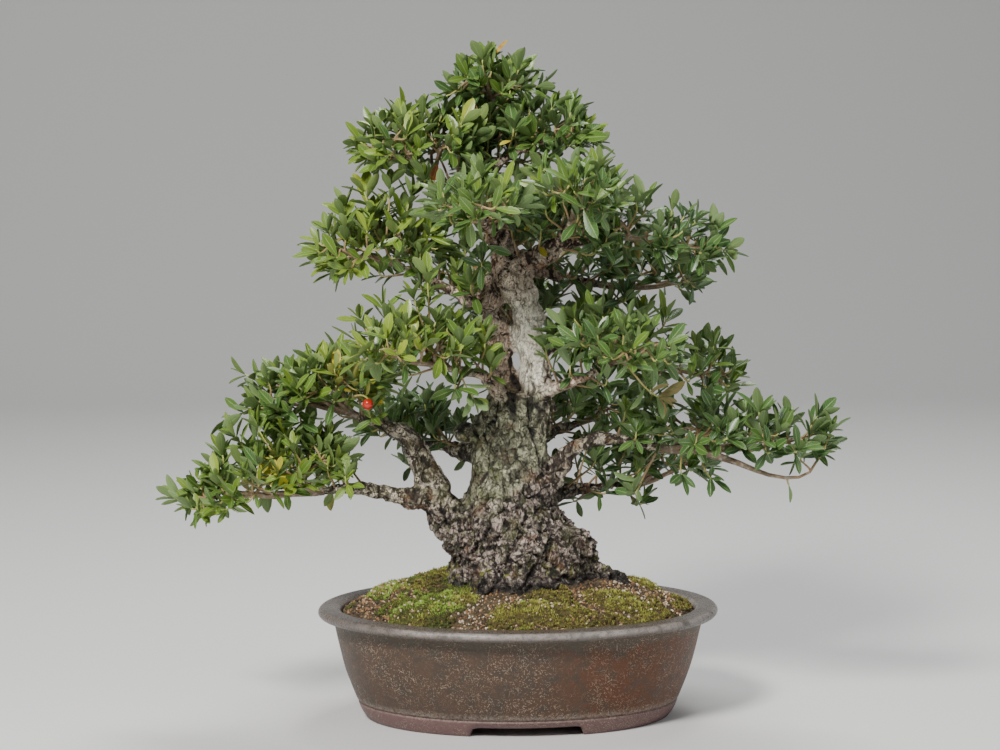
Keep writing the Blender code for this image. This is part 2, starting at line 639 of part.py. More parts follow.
def whorl(start, tip, index, is_free, into):
    """One shoot as a closed mesh: a three-sided stem whose sides and end each grow out into a leaf."""
    along = unit(tip - start)
    axis = unit(along + SHOOT_LIFT * UP)
    side = unit(np.cross(along, (1.0, 0.3, 0.1)))
    front = np.cross(along, side)
    spin = index * GOLDEN_TURN + turn(3)
    ring = np.outer(np.cos(spin), side) + np.outer(np.sin(spin), front)
    thin = ring * SHOOT_RADIUS * SHOOT_TAPER
    points = [*(start + ring * SHOOT_RADIUS), *(tip - along * NODE_LENGTH + thin), *(tip + thin)]
    faces = [(0, 1, 2)]
    sockets = [(6, 7, 8)]
    for i in range(3):
        j = (i + 1) % 3
        faces += [(i, j, 3 + j, 3 + i), (3 + i, 3 + j, 6 + j)]
        sockets.append((6 + j, 6 + i, 3 + i))
    leaves = 0
    for k, socket in enumerate(sockets):
        roots = [points[i] for i in socket]
        out = unit((roots[0] + roots[1]) / 2 - tip) if k else unit(roots[0] - tip)
        lean = math.radians(LEAF_LEANS[k] + 6.0 * math.sin(index * 1.9 + k))
        way = unit(axis * math.cos(lean) + out * math.sin(lean) + 0.1 * UP)
        length = LEAF_LENGTH * (1.0 + 0.12 * math.sin(index * 2.1 + k * 1.7))
        made = blade(roots, way, length, LEAF_WIDTH * (1.0 + 0.1 * math.cos(index * 1.3 + k)))
        if not is_free(made):
            faces.append(socket)
            continue
        leaves += 1
        a = len(points)
        points += list(made)
        low, high = (*socket, socket[0]), (a, a + 1, a + 2, a)
        for i in range(3):
            faces += [(low[i], low[i + 1], high[i + 1], high[i]), (high[i], high[i + 1], a + 3)]
    return add_mesh("shoot", points, faces, into) if leaves else None


def build_spray(name, shapes, segments, parts, finish, extra):
    """One leafy spray: its stem, twiggy middle, shoots and leaves in one body, cut clear of the wood."""
    shape = next(s for s in shapes if s.name == name)

    def is_free(points):
        return own(points, shape, shapes).all() and (wood_gap(points, segments) > LEAF_CLEAR).all()

    line, radii = limb_line(shape.limb)
    spray = core(shape, shapes, segments, parts)
    stem = np.array([line[-1] - unit(line[-1] - line[-2]), (line[-1] + shape.middle) / 2 - UP, shape.middle])
    pieces = [tube("stem", stem, radii[-1] * np.array([1.0, 0.85, 0.7]), 1, parts), *extra]
    length, width, height = shape.half
    area = math.pi * (length * width + (length + width) * height)
    for index in range(round(area / AREA_PER_SHOOT)):
        tip = shape.place(even_direction(index), LEAF_REACH)
        start = shape.middle + (tip - shape.middle) * SHOOT_START
        if is_free(start + (tip - start) * np.linspace(0.5, 1.0, 4)[:, None]):
            shoot = whorl(start, tip, index, is_free, parts)
            pieces += [shoot] if shoot else []
    combine(spray, pieces, "UNION", "MANIFOLD")
    combine(spray, near_wood(shape, parts), "DIFFERENCE", "MANIFOLD")
    keep_largest(spray)
    finish_piece(spray, "spray_" + name, finish, 25.0)


def near_wood(shape, parts):
    """Cutters for the limbs that come near a spray, each a little thicker and longer than the limb itself."""
    cutters = []
    for name in LIMBS:
        line, radii = limb_line(name)
        if name == shape.limb or (shape.share(line) < NEAR).any():
            grown = np.vstack([line[:-1], line[-1] + unit(line[-1] - line[-2]) * GAP])
            cutters.append(tube("clear", grown, radii + GAP, roundness(radii), parts))
    return cutters


def build_berry(parts, finish):
    """One round fruit, slightly longer than wide."""
    shape = bmesh.new()
    place = Matrix.Translation(Vector(BERRY_CENTRE) * MM) @ Matrix.Diagonal((1.0, 1.0, BERRY_STRETCH, 1.0))
    bmesh.ops.create_uvsphere(shape, u_segments=10, v_segments=7, radius=BERRY_RADIUS * MM, matrix=place)
    finish_piece(add_shape("berry", shape, parts), "berry", finish)


def berry_stalk(parts):
    """The twig from the left spray's stem that bends over and bears the berry."""
    end = BERRY_CENTRE + UP * (BERRY_RADIUS * BERRY_STRETCH + GAP)
    line = smooth_line([*BERRY_TWIG, end], 1)
    return tube("stalk", line, np.linspace(TWIG_RADIUS, 0.7, len(line)), 0, parts)


def main():
    clear_scene()
    parts = collection("mastic_tree_bonsai")
    clay = make_material("clay", (0.16, 0.11, 0.085), 0.75)
    earth = make_material("soil", (0.2, 0.13, 0.08), 0.95)
    green = make_material("moss", (0.16, 0.2, 0.04), 0.95)
    barked = make_material("bark", (0.23, 0.19, 0.15), 0.9)
    leafy = make_material("leaf", (0.07, 0.16, 0.05), 0.45)
    red = make_material("berry", (0.6, 0.03, 0.01), 0.25)
    net = make_material("net", (0.03, 0.03, 0.03), 0.5)

    build_pot(parts, clay)
    for side, centre in zip(("left", "right"), drain_centres()):
        build_screen("drain_screen_" + side, centre, parts, net)
    hollows = [trunk_loft("hollow", HOLE_HEIGHTS, GAP, parts), *root_holes(parts)]
    hollows += [cushion("hollow", place, GAP, parts) for place in MOSS.values()]
    room = np.array([SCREEN_SIDE / 2 + GAP, SCREEN_SIDE / 2 + GAP, 0.0])
    for centre in drain_centres():
        hollows.append(box("hollow", centre - room, centre + room + UP * (SCREEN_TOP + GAP), parts))
    build_soil(parts, hollows, earth)
    for name, place in MOSS.items():
        finish_piece(cushion("moss", place, 0.0, parts), "moss_" + name, green)
    build_tree(parts, barked)
    shapes = [Shape(name) for name in SPRAYS]
    segments = wood_segments()
    for name in SPRAYS:
        extra = [berry_stalk(parts)] if name == "left_mid" else []
        build_spray(name, shapes, segments, parts, leafy, extra)
    build_berry(parts, red)


main()
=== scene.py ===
"""The finished looks of the mastic tree bonsai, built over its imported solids.

Every length is in millimetres in the row frame, +Z up and -Y towards the viewer, until a mesh is
made of it, which turns it to metres. Shapes are worked out as whole arrays of points.
"""

import itertools
import logging
import math
from collections.abc import Callable, Mapping, Sequence
from dataclasses import dataclass, field
from enum import Enum
from typing import TypeAlias

import bmesh
import bpy
import numpy as np
from mathutils import Matrix, Vector
from numpy.random import Generator, default_rng
from numpy.typing import NDArray


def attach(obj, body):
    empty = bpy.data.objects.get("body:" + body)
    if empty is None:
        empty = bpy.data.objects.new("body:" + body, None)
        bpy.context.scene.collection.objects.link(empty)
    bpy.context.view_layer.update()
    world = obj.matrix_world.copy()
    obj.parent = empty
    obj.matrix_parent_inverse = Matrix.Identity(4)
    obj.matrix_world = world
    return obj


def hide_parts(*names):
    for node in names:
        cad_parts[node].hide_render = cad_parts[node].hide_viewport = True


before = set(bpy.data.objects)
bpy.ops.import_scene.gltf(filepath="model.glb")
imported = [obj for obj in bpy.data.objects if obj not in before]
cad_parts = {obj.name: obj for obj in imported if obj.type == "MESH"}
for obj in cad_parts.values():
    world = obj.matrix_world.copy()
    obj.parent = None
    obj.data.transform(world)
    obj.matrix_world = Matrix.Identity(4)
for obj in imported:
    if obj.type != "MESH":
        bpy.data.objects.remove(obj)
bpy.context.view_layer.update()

Floats = NDArray[np.float64]
Ints = NDArray[np.int64]
Colour = tuple[float, float, float]
Place = tuple[float, float, float]
Span = tuple[float, float]
Amount = Floats | float
Object = bpy.types.Object
Material = bpy.types.Material
Term: TypeAlias = "Value | float"
Tint: TypeAlias = "Value | Colour"
Given: TypeAlias = "Value | float | Sequence[float]"

LOG = logging.getLogger("bonsai")
MM = 0.001
UP = np.array([0.0, 0.0, 1.0])
GOLDEN_TURN = math.radians(137.508)
# How far a tube's end points stand out past its first and last ring, against its radius there.
START_BULGE, END_BULGE = 0.4, 0.6
# A direction that no limb or shoot runs along, for finding a way square to it.
ASKEW = (0.31, 0.17, 0.93)
LEVEL = (1.0, 1.0, 0.0)


def unit(vectors: Floats) -> Floats:
    """Vectors along the last axis, each divided by its own length."""
    return vectors / np.maximum(np.linalg.norm(vectors, axis=-1, keepdims=True), 1e-12)


def rise_between(values: Floats, low: float, high: float) -> Floats:
    """0 below low and 1 above high, with the cubic 3t^2 - 2t^3 between them."""
    t = np.clip((values - low) / (high - low), 0.0, 1.0)
    return t * t * (3.0 - 2.0 * t)


def full_turn(count: int) -> Floats:
    """This many even angles round a circle."""
    return np.linspace(0.0, math.tau, count, endpoint=False)


def random_angles(draw: Generator, shape: int | tuple[int, ...]) -> Floats:
    """Angles drawn evenly from a whole turn."""
    return draw.random(shape) * math.tau


def on_oval(
    middle: Sequence[float], half: Sequence[Amount], share: Amount, angle: Floats
) -> tuple[Floats, Floats]:
    """Places at a share of the way out to an oval: half length * share * cos a, and y alike with sin."""
    return half[0] * share * np.cos(angle) + middle[0], half[1] * share * np.sin(angle) + middle[1]


def xyz(x: Amount, y: Amount, z: Amount) -> Floats:
    """Points from their three coordinates, each an array or one number."""
    return np.stack(np.broadcast_arrays(x, y, z), axis=-1)


@dataclass(frozen=True)
class Noise:
    """Smooth and cellular noise for whole arrays of points, the same on every run."""

    seed: int

    def random(self, cells: Floats, channel: int) -> Floats:
        """A number from 0 to 1 for each whole-number cell, from its scrambled bits.

        Args:
            cells: Whole numbers, with x, y and z along the last axis.
            channel: Which of the cell's numbers is wanted.

        Returns:
            One number for each cell.
        """
        whole = cells.astype(np.int64).astype(np.uint64)
        bits = whole[..., 0] * np.uint64(0x9E3779B97F4A7C15)
        bits ^= whole[..., 1] * np.uint64(0xC2B2AE3D27D4EB4F)
        bits ^= whole[..., 2] * np.uint64(0x165667B19E3779F9)
        bits += np.uint64(self.seed * 7919 + channel * 104729 + 1)
        for shift, factor in ((30, 0xBF58476D1CE4E5B9), (27, 0x94D049BB133111EB)):
            bits ^= bits >> np.uint64(shift)
            bits *= np.uint64(factor)
        return (bits >> np.uint64(40)).astype(np.float64) / float(1 << 24)

    def smooth(self, points: Floats, size: float) -> Floats:
        """Random values at the corners of a lattice, blended by 6t^5 - 15t^4 + 10t^3.

        Args:
            points: Where the noise is wanted.
            size: The lattice's pitch, in the points' own units.

        Returns:
            Values from -1 to 1.
        """
        scaled = points / size
        cells = np.floor(scaled)
        part = scaled - cells
        fade = part**3 * (part * (part * 6.0 - 15.0) + 10.0)
        total = np.zeros(points.shape[:-1])
        for corner in itertools.product((0.0, 1.0), repeat=3):
            weight = np.prod(np.where(corner, fade, 1.0 - fade), axis=-1)
            total += weight * self.random(cells + corner, 0)
        return 2.0 * total - 1.0

    def fractal(self, points: Floats, size: float, octaves: int = 3) -> Floats:
        """Smooth noise at this size, plus half as much at half the size, and so on."""
        total = sum(0.5**k * self.smooth(points + 17.3 * k, size * 0.5**k) for k in range(octaves))
        return total / (2.0 - 0.5 ** (octaves - 1))

    def cells(self, points: Floats, size: float) -> tuple[Floats, Floats, Floats, Floats]:
        """The distances to the nearest and the second nearest of one random spot in each cell.

        Args:
            points: Where the pattern is wanted.
            size: The cells' pitch.

        Returns:
            The nearest distance, the second nearest, a number from 0 to 1 that marks the nearest
            spot, and the way from that spot to the point. Lengths are against the size.
        """
        scaled = points / size
        home = np.floor(scaled)
        nearest = np.full(points.shape[:-1], 9.0)
        second = nearest.copy()
        mark = np.zeros(points.shape[:-1])
        offset = np.zeros(points.shape)
        for step in itertools.product((-1.0, 0.0, 1.0), repeat=3):
            cell = home + step
            way = scaled - cell - np.stack([self.random(cell, channel) for channel in (1, 2, 3)], axis=-1)
            away = np.linalg.norm(way, axis=-1)
            closer = away < nearest
            mark = np.where(closer, self.random(cell, 4), mark)
            offset = np.where(closer[..., None], way, offset)
            second = np.minimum(second, np.maximum(away, nearest))
            nearest = np.minimum(nearest, away)
        return nearest, second, mark, offset

    def shingles(self, points: Floats, size: float) -> tuple[Floats, Floats, Floats]:
        """Overlapping flakes: each cell is a flat plate, tilted its own way about its spot.

        Args:
            points: Where the flakes are wanted.
            size: Their mean width.

        Returns:
            Heights from about -0.5 to 0.5 that jump at the flakes' edges, how near an edge is, from 0
            on it to 1, and each flake's own number.
        """
        nearest, second, mark, offset = self.cells(points, size)
        turn, tilt = mark * math.tau, np.sin(mark * 97.0)
        height = offset[..., 0] * np.cos(turn) + offset[..., 1] * np.sin(turn) + offset[..., 2] * tilt
        return 0.8 * height, rise_between(second - nearest, 0.0, 0.25), mark


@dataclass
class Surface:
    """Points and faces of a piece before it becomes a mesh, with values marked on either."""

    points: Floats
    faces: list[Ints]
    point_marks: dict[str, Floats] = field(default_factory=dict)
    face_marks: dict[str, Floats] = field(default_factory=dict)

    def triangle_count(self) -> int:
        """How many triangles the faces make."""
        return sum(len(block) * (block.shape[1] - 2) for block in self.faces)


def grid_faces(rows: int, columns: int, wrapped: bool = True) -> Ints:
    """Four-sided faces between neighbouring rows of points.

    Args:
        rows: How many rows the points have.
        columns: How many points a row has.
        wrapped: Whether a row's last point is joined to its first.

    Returns:
        The faces, which look outwards where the columns turn to the left about the rows' way.
    """
    row, column = np.meshgrid(np.arange(rows - 1), np.arange(columns - (not wrapped)), indexing="ij")
    ahead = (column + 1) % columns
    ring, next_ring = row * columns, (row + 1) * columns
    corners = [ring + column, ring + ahead, next_ring + ahead, next_ring + column]
    return np.stack(corners, axis=-1).reshape(-1, 4)


def fan_faces(pole: int, first: int, columns: int, starts: bool) -> Ints:
    """Triangles that close a ring of points to a pole, at the rows' start or at their end.

    Args:
        pole: The pole's number.
        first: The number of the ring's first point.
        columns: How many points the ring has.
        starts: Whether the pole is at the rows' start.

    Returns:
        The triangles.
    """
    here = first + np.arange(columns)
    ahead = first + (np.arange(columns) + 1) % columns
    order = [ahead, here] if starts else [here, ahead]
    return np.stack([np.full(columns, pole), *order], axis=-1)


def ring_faces(rows: int, columns: int) -> list[Ints]:
    """The faces of rings of points that are closed to two poles, which follow after the rings.

    Args:
        rows: How many rings there are.
        columns: How many points a ring has.

    Returns:
        The faces between the rings, then those at the start and those at the end.
    """
    last = rows * columns
    ends = [fan_faces(last, 0, columns, True), fan_faces(last + 1, last - columns, columns, False)]
    return [grid_faces(rows, columns), *ends]


def closed_rings(rings: Floats, start: Place | None = None, end: Place | None = None) -> Surface:
    """Rings of points joined into one surface, closed to a pole at each end.

    Args:
        rings: An array of rings by points by 3.
        start: The first pole, or None for the middle of the first ring.
        end: The last pole, likewise.

    Returns:
        The surface, which looks outwards where the rings turn to the left about their way.
    """
    ends = ((rings[0], start), (rings[-1], end))
    poles = [ring.mean(axis=0) if pole is None else pole for ring, pole in ends]
    return Surface(np.concatenate([rings.reshape(-1, 3), poles]), ring_faces(*rings.shape[:2]))


def repeated(points: Floats, faces: Sequence[Ints]) -> Surface:
    """Many shapes with the same faces, as one surface.

    Args:
        points: The points of each shape, as an array of shapes by points by 3.
        faces: One shape's faces.

    Returns:
        All shapes together, one after another.
    """
    shapes, count = points.shape[:2]
    offset = (np.arange(shapes) * count)[:, None, None]
    blocks = [(block[None] + offset).reshape(-1, block.shape[1]) for block in faces]
    return Surface(points.reshape(-1, 3), blocks)


def tubes(paths: Floats, radii: Floats, sides: int) -> Surface:
    """Round tubes along paths: path + radius * (cos a * side + sin a * front), closed by end points.

    Args:
        paths: The points along each tube, as an array of tubes by points by 3.
        radii: The radius at each of them.
        sides: How many sides each tube has.

    Returns:
        All tubes as one surface, with point_marks "along" from 0 at each start to 1 at each end.
    """
    count, steps = paths.shape[:2]
    along = unit(np.gradient(paths, axis=1))
    crosswise = np.eye(3)[np.abs(paths[:, -1] - paths[:, 0]).argmin(axis=1)]
    side = unit(np.cross(along, crosswise[:, None]))
    front = np.cross(along, side)
    angle = full_turn(sides)[None, None, :, None]
    ring = np.cos(angle) * side[:, :, None] + np.sin(angle) * front[:, :, None]
    rings = paths[:, :, None] + radii[:, :, None, None] * ring
    start = paths[:, :1] - along[:, :1] * radii[:, :1, None] * START_BULGE
    end = paths[:, -1:] + along[:, -1:] * radii[:, -1:, None] * END_BULGE
    points = np.concatenate([rings.reshape(count, steps * sides, 3), start, end], axis=1)
    surface = repeated(points, ring_faces(steps, sides))
    mark = np.concatenate([np.repeat(np.linspace(0.0, 1.0, steps), sides), [0.0, 1.0]])
    surface.point_marks["along"] = np.tile(mark, count)
    return surface


def joined(parts: Sequence[Surface]) -> Surface:
    """Several surfaces as one. All have the same point marks, and none has face marks.

    Args:
        parts: The surfaces.

    Returns:
        Their points, faces and point marks, one after another.
    """
    starts = np.cumsum([0, *(len(part.points) for part in parts)])
    faces = [block + start for part, start in zip(parts, starts) for block in part.faces]
    names = parts[0].point_marks
    marks = {name: np.concatenate([part.point_marks[name] for part in parts]) for name in names}
    return Surface(np.concatenate([part.points for part in parts]), faces, marks)


def make_piece(name: str, surface: Surface, finish: Material, sharp: float = 60.0) -> Object:
    """A mesh object of a surface, smooth but for the edges sharper than an angle.

    Args:
        name: The object's name.
        surface: Its points, faces and marks, in millimetres.
        finish: Its material.
        sharp: The angle between two faces, in degrees, past which their edge stays sharp.

    Returns:
        The object, at the origin, linked to the scene.
    """
    sides = np.concatenate([np.full(len(block), block.shape[1]) for block in surface.faces])
    corners = np.concatenate([block.ravel() for block in surface.faces])
    mesh = bpy.data.meshes.new(name)
    mesh.vertices.add(len(surface.points))
    mesh.vertices.foreach_set("co", (surface.points * MM).astype(np.float32).ravel())
    mesh.loops.add(len(corners))
    mesh.loops.foreach_set("vertex_index", corners.astype(np.int32))
    mesh.polygons.add(len(sides))
    mesh.polygons.foreach_set("loop_start", np.concatenate([[0], np.cumsum(sides)[:-1]]).astype(np.int32))
    for domain, marks in (("POINT", surface.point_marks), ("FACE", surface.face_marks)):
        for mark, values in marks.items():
            mesh.attributes.new(mark, "FLOAT", domain).data.foreach_set("value", values.astype(np.float32))
    mesh.update(calc_edges=True)
    mesh.shade_smooth()
    mesh.set_sharp_from_angle(angle=math.radians(sharp))
    mesh.materials.append(finish)
    piece = bpy.data.objects.new(name, mesh)
    bpy.context.scene.collection.objects.link(piece)
    LOG.info("%s: %d triangles", name, surface.triangle_count())
    return piece


def read_values(items: bpy.types.bpy_prop_collection, name: str, width: int, kind: type) -> Floats | Ints:
    """A property of a mesh's points, edges or corners.

    Args:
        items: The points, edges or corners.
        name: The property's name.
        width: How many numbers each of them has.
        kind: The numbers' type.

    Returns:
        An array of items by numbers.
    """
    values = np.empty(len(items) * width, kind)
    items.foreach_get(name, values)
    return values.reshape(-1, width)


def apply_modifier(piece: Object) -> None:
    """Turns a piece's mesh into what its one modifier makes of it.

    Args:
        piece: The piece, which has no modifier afterwards.
    """
    bpy.context.view_layer.update()
    piece.data = bpy.data.meshes.new_from_object(piece.evaluated_get(bpy.context.evaluated_depsgraph_get()))
    piece.modifiers.clear()


def settle(piece: Object, replaced: Sequence[str] = ()) -> None:
    """Lets a piece ride on the tree's body, in place of some CAD nodes.

    Args:
        piece: The piece.
        replaced: The nodes that it stands for.
    """
    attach(piece, "root")
    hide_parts(*replaced)


def arithmetic(operation: str, turned: bool = False) -> Callable[["Value", Term], "Value"]:
    """A method of Value that joins it to another term by a Math node.

    Args:
        operation: The Math node's operation.
        turned: Whether the other term comes first.

    Returns:
        The method.
    """

    def result(value: "Value", other: Term) -> "Value":
        """The node's output."""
        left, right = (other, value) if turned else (value, other)
        return value.graph.node("ShaderNodeMath", {0: left, 1: right}, operation=operation)

    return result


class Value:
    """A shader socket that adds, subtracts and multiplies as a number does."""

    def __init__(self, graph: "Graph", socket: bpy.types.NodeSocket) -> None:
        """Wraps a socket of one of the graph's nodes."""
        self.graph = graph
        self.socket = socket

    __add__, __radd__ = arithmetic("ADD"), arithmetic("ADD", True)
    __sub__, __rsub__ = arithmetic("SUBTRACT"), arithmetic("SUBTRACT", True)
    __mul__, __rmul__ = arithmetic("MULTIPLY"), arithmetic("MULTIPLY", True)

    def size(self) -> "Value":
        """The value without its sign."""
        return self.graph.node("ShaderNodeMath", {0: self}, operation="ABSOLUTE")

    def other(self, output: str) -> "Value":
        """Another output of the same node."""
        return Value(self.graph, self.socket.node.outputs[output])

    def between(self, low: float, high: float) -> "Value":
        """0 at low and 1 at high, with a smooth step between them."""
        inputs = {"Value": self, "From Min": low, "From Max": high}
        return self.graph.node("ShaderNodeMapRange", inputs, interpolation_type="SMOOTHSTEP")

    def at_least(self, least: float) -> "Value":
        """A share from 0 to 1 lifted to the range from least to 1."""
        return least + (1.0 - least) * self


@dataclass(frozen=True)
class Coat:
    """A colour laid over others, and how much of them it hides where its share is 1."""

    colour: Colour
    cover: float = 1.0


class Graph:
    """A new material's nodes, with the few forms that the finishes share."""

    def __init__(self, name: str) -> None:
        """Starts a material with its one shader.

        Args:
            name: The material's name.
        """
        self.material = bpy.data.materials.new(name)
        self.material.use_nodes = True
        self.tree = self.material.node_tree
        self.shader = self.tree.nodes["Principled BSDF"]

    def node(
        self,
        kind: str,
        inputs: Mapping[str | int, Given],
        output: str | int = 0,
        stops: Sequence[tuple[float, Colour]] = (),
        **settings: object,
    ) -> Value:
        """Adds a node.

        Args:
            kind: The node's type.
            inputs: The value or link of each socket, by name or number.
            output: Which of its outputs is wanted.
            stops: A ramp's places and colours.
            **settings: The node's own settings, such as a Math node's operation.

        Returns:
            The output.
        """
        made = self.tree.nodes.new(kind)
        for key, setting in settings.items():
            setattr(made, key, setting)
        for index, (at, colour) in enumerate(stops):
            elements = made.color_ramp.elements
            stop = elements[index] if index < 2 else elements.new(at)
            stop.position = at
            stop.color = (*colour, 1.0)
        for key, given in inputs.items():
            if isinstance(given, Value):
                self.tree.links.new(given.socket, made.inputs[key])
            else:
                made.inputs[key].default_value = given
        return Value(self, made.outputs[output])

    def vector(
        self, operation: str, left: Value, right: "Value | Place" = (0.0, 0.0, 0.0), output: str = "Vector"
    ) -> Value:
        """A Vector Math node on two vectors."""
        return self.node("ShaderNodeVectorMath", {0: left, 1: right}, output, operation=operation)

    def place(self, stretch: Place = (1.0, 1.0, 1.0)) -> Value:
        """Object coordinates in metres, multiplied by a stretch along each axis."""
        return self.vector("MULTIPLY", self.node("ShaderNodeTexCoord", {}, "Object"), stretch)

    def noise(
        self, at: Value, pitch: float, detail: float = 3.0, rough: float = 0.55, output: str | int = 0
    ) -> Value:
        """Cloudy noise from 0 to 1 whose swellings are this many millimetres apart."""
        inputs = {"Vector": at, "Scale": 1.0 / (pitch * MM), "Detail": detail, "Roughness": rough}
        return self.node("ShaderNodeTexNoise", inputs, output)

    def spots(self, at: Value, pitch: float, feature: str = "F1", output: str = "Distance") -> Value:
        """A Voronoi pattern with cells this many millimetres wide."""
        inputs = {"Vector": at, "Scale": 1.0 / (pitch * MM)}
        return self.node("ShaderNodeTexVoronoi", inputs, output, feature=feature)

    def own_way(self, cell: Value) -> Value:
        """A direction for each cell of a Voronoi pattern, from its colour."""
        return self.vector("SUBTRACT", cell.other("Color"), (0.5, 0.5, 0.5))

    def own_number(self, cell: Value, channel: int) -> Value:
        """A number from 0 to 1 for each cell of a Voronoi pattern, from a channel of its colour."""
        return self.node("ShaderNodeSeparateColor", {0: cell.other("Color")}, channel)

    def flakes(
        self, at: Value, pitch: float, steepness: float = 0.8, edge_width: float = 0.09
    ) -> tuple[Value, Value, Value]:
        """Overlapping flakes: each Voronoi cell is a plate tilted its own way.

        Args:
            at: Where the pattern is read.
            pitch: The flakes' width in millimetres.
            steepness: How much their height changes over one width.
            edge_width: How far the lines between them reach, against a flake's width.

        Returns:
            Their height, about 0 to 1, each flake's own number from 0 to 1, and 1 on the lines where
            two flakes meet.
        """
        cell = self.spots(at, pitch)
        tilt = self.vector("NORMALIZE", self.own_way(cell))
        slope = self.vector("DOT_PRODUCT", self.vector("SUBTRACT", at, cell.other("Position")), tilt, "Value")
        edge = self.spots(at, pitch, "DISTANCE_TO_EDGE").between(edge_width, 0.0)
        return slope * (steepness / (pitch * MM)) + 0.5, self.own_number(cell, 0), edge

    def along_surface(self, way: Value) -> Value:
        """A direction without its part along the surface's normal.

        Args:
            way: The direction.

        Returns:
            way - normal * (way . normal).
        """
        normal = self.node("ShaderNodeNewGeometry", {}, "Normal")
        out = {0: normal, "Scale": self.vector("DOT_PRODUCT", way, normal, "Value")}
        return self.vector("SUBTRACT", way, self.node("ShaderNodeVectorMath", out, operation="SCALE"))

    def dashes(self, at: Value, pitch: float, width: float, share: float) -> Value:
        """Short straight scratches, one in some of the Voronoi cells, each its own way.

        Args:
            at: Where the pattern is read.
            pitch: The cells' width in millimetres.
            width: The scratches' width in millimetres.
            share: How many of the cells have one.

        Returns:
            1 in a scratch and 0 between them.
        """
        cell = self.spots(at, pitch)
        offset = self.along_surface(self.vector("SUBTRACT", at, cell.other("Position")))
        way = self.along_surface(self.own_way(cell))
        crossed = self.vector("CROSS_PRODUCT", offset, self.vector("NORMALIZE", way))
        beside = self.vector("LENGTH", crossed, output="Value")
        far = self.vector("LENGTH", offset, output="Value")
        ends, fades = 0.4 * pitch, 0.3 * pitch
        inside = far.between(ends * MM, fades * MM)
        thin = beside.between(width * MM, 0.5 * width * MM)
        chosen = self.own_number(cell, 1).between(share + 0.02, share)
        return thin * inside * chosen

    def axis(self, name: str) -> Value:
        """The place along one axis in millimetres."""
        return self.node("ShaderNodeSeparateXYZ", {0: self.place((1e3, 1e3, 1e3))}, name)

    def mark(self, name: str) -> Value:
        """A value marked on the piece's points or faces."""
        return self.node("ShaderNodeAttribute", {}, "Fac", attribute_name=name)

    def ramp(self, value: Value, stops: Sequence[tuple[float, Colour]]) -> Value:
        """A colour read off a ramp."""
        return self.node("ShaderNodeValToRGB", {0: value}, stops=stops)

    def blend(self, share: Term, low: Tint, high: Tint, how: str = "MIX") -> Value:
        """A colour between two others.

        Args:
            share: How much of the high colour is in it, from 0 to 1.
            low: The colour where the share is 0.
            high: The colour where it is 1.
            how: The Mix node's way of blending.

        Returns:
            The colour.
        """
        ends = [end if isinstance(end, Value) else (*end, 1.0) for end in (low, high)]
        inputs = {0: share, 6: ends[0], 7: ends[1]}
        return self.node("ShaderNodeMix", inputs, 2, data_type="RGBA", blend_type=how)

    def layers(self, colour: Tint, *coats: tuple[Value, Coat]) -> Tint:
        """A colour under coats, each laid over the last by its share times its cover.

        Args:
            colour: The lowest colour.
            *coats: The share and the coat, from the lowest up.

        Returns:
            The colour of them all.
        """
        for share, coat in coats:
            colour = self.blend(share * coat.cover, colour, coat.colour)
        return colour

    def bump(self, height: Value, depth: Term, under: Value | None = None) -> Value:
        """A normal bent by a height.

        Args:
            height: The height, from 0 to 1.
            depth: How many millimetres a height of 1 stands for.
            under: A normal that is bent already, or None.

        Returns:
            The normal.
        """
        inputs = {"Height": height, "Distance": depth * MM, "Strength": 1.0}
        if under is not None:
            inputs["Normal"] = under
        return self.node("ShaderNodeBump", inputs)

    def done(self, **sockets: Given) -> Material:
        """Sets the shader's sockets.

        Args:
            **sockets: The value or link of each socket, named with _ for a space.

        Returns:
            The finished material.
        """
        for key, given in sockets.items():
            socket = self.shader.inputs[key.replace("_", " ").title().replace("Ior", "IOR")]
            if isinstance(given, Value):
                self.tree.links.new(given.socket, socket)
            else:
                socket.default_value = (*given, 1.0) if isinstance(given, tuple) else given
        return self.material


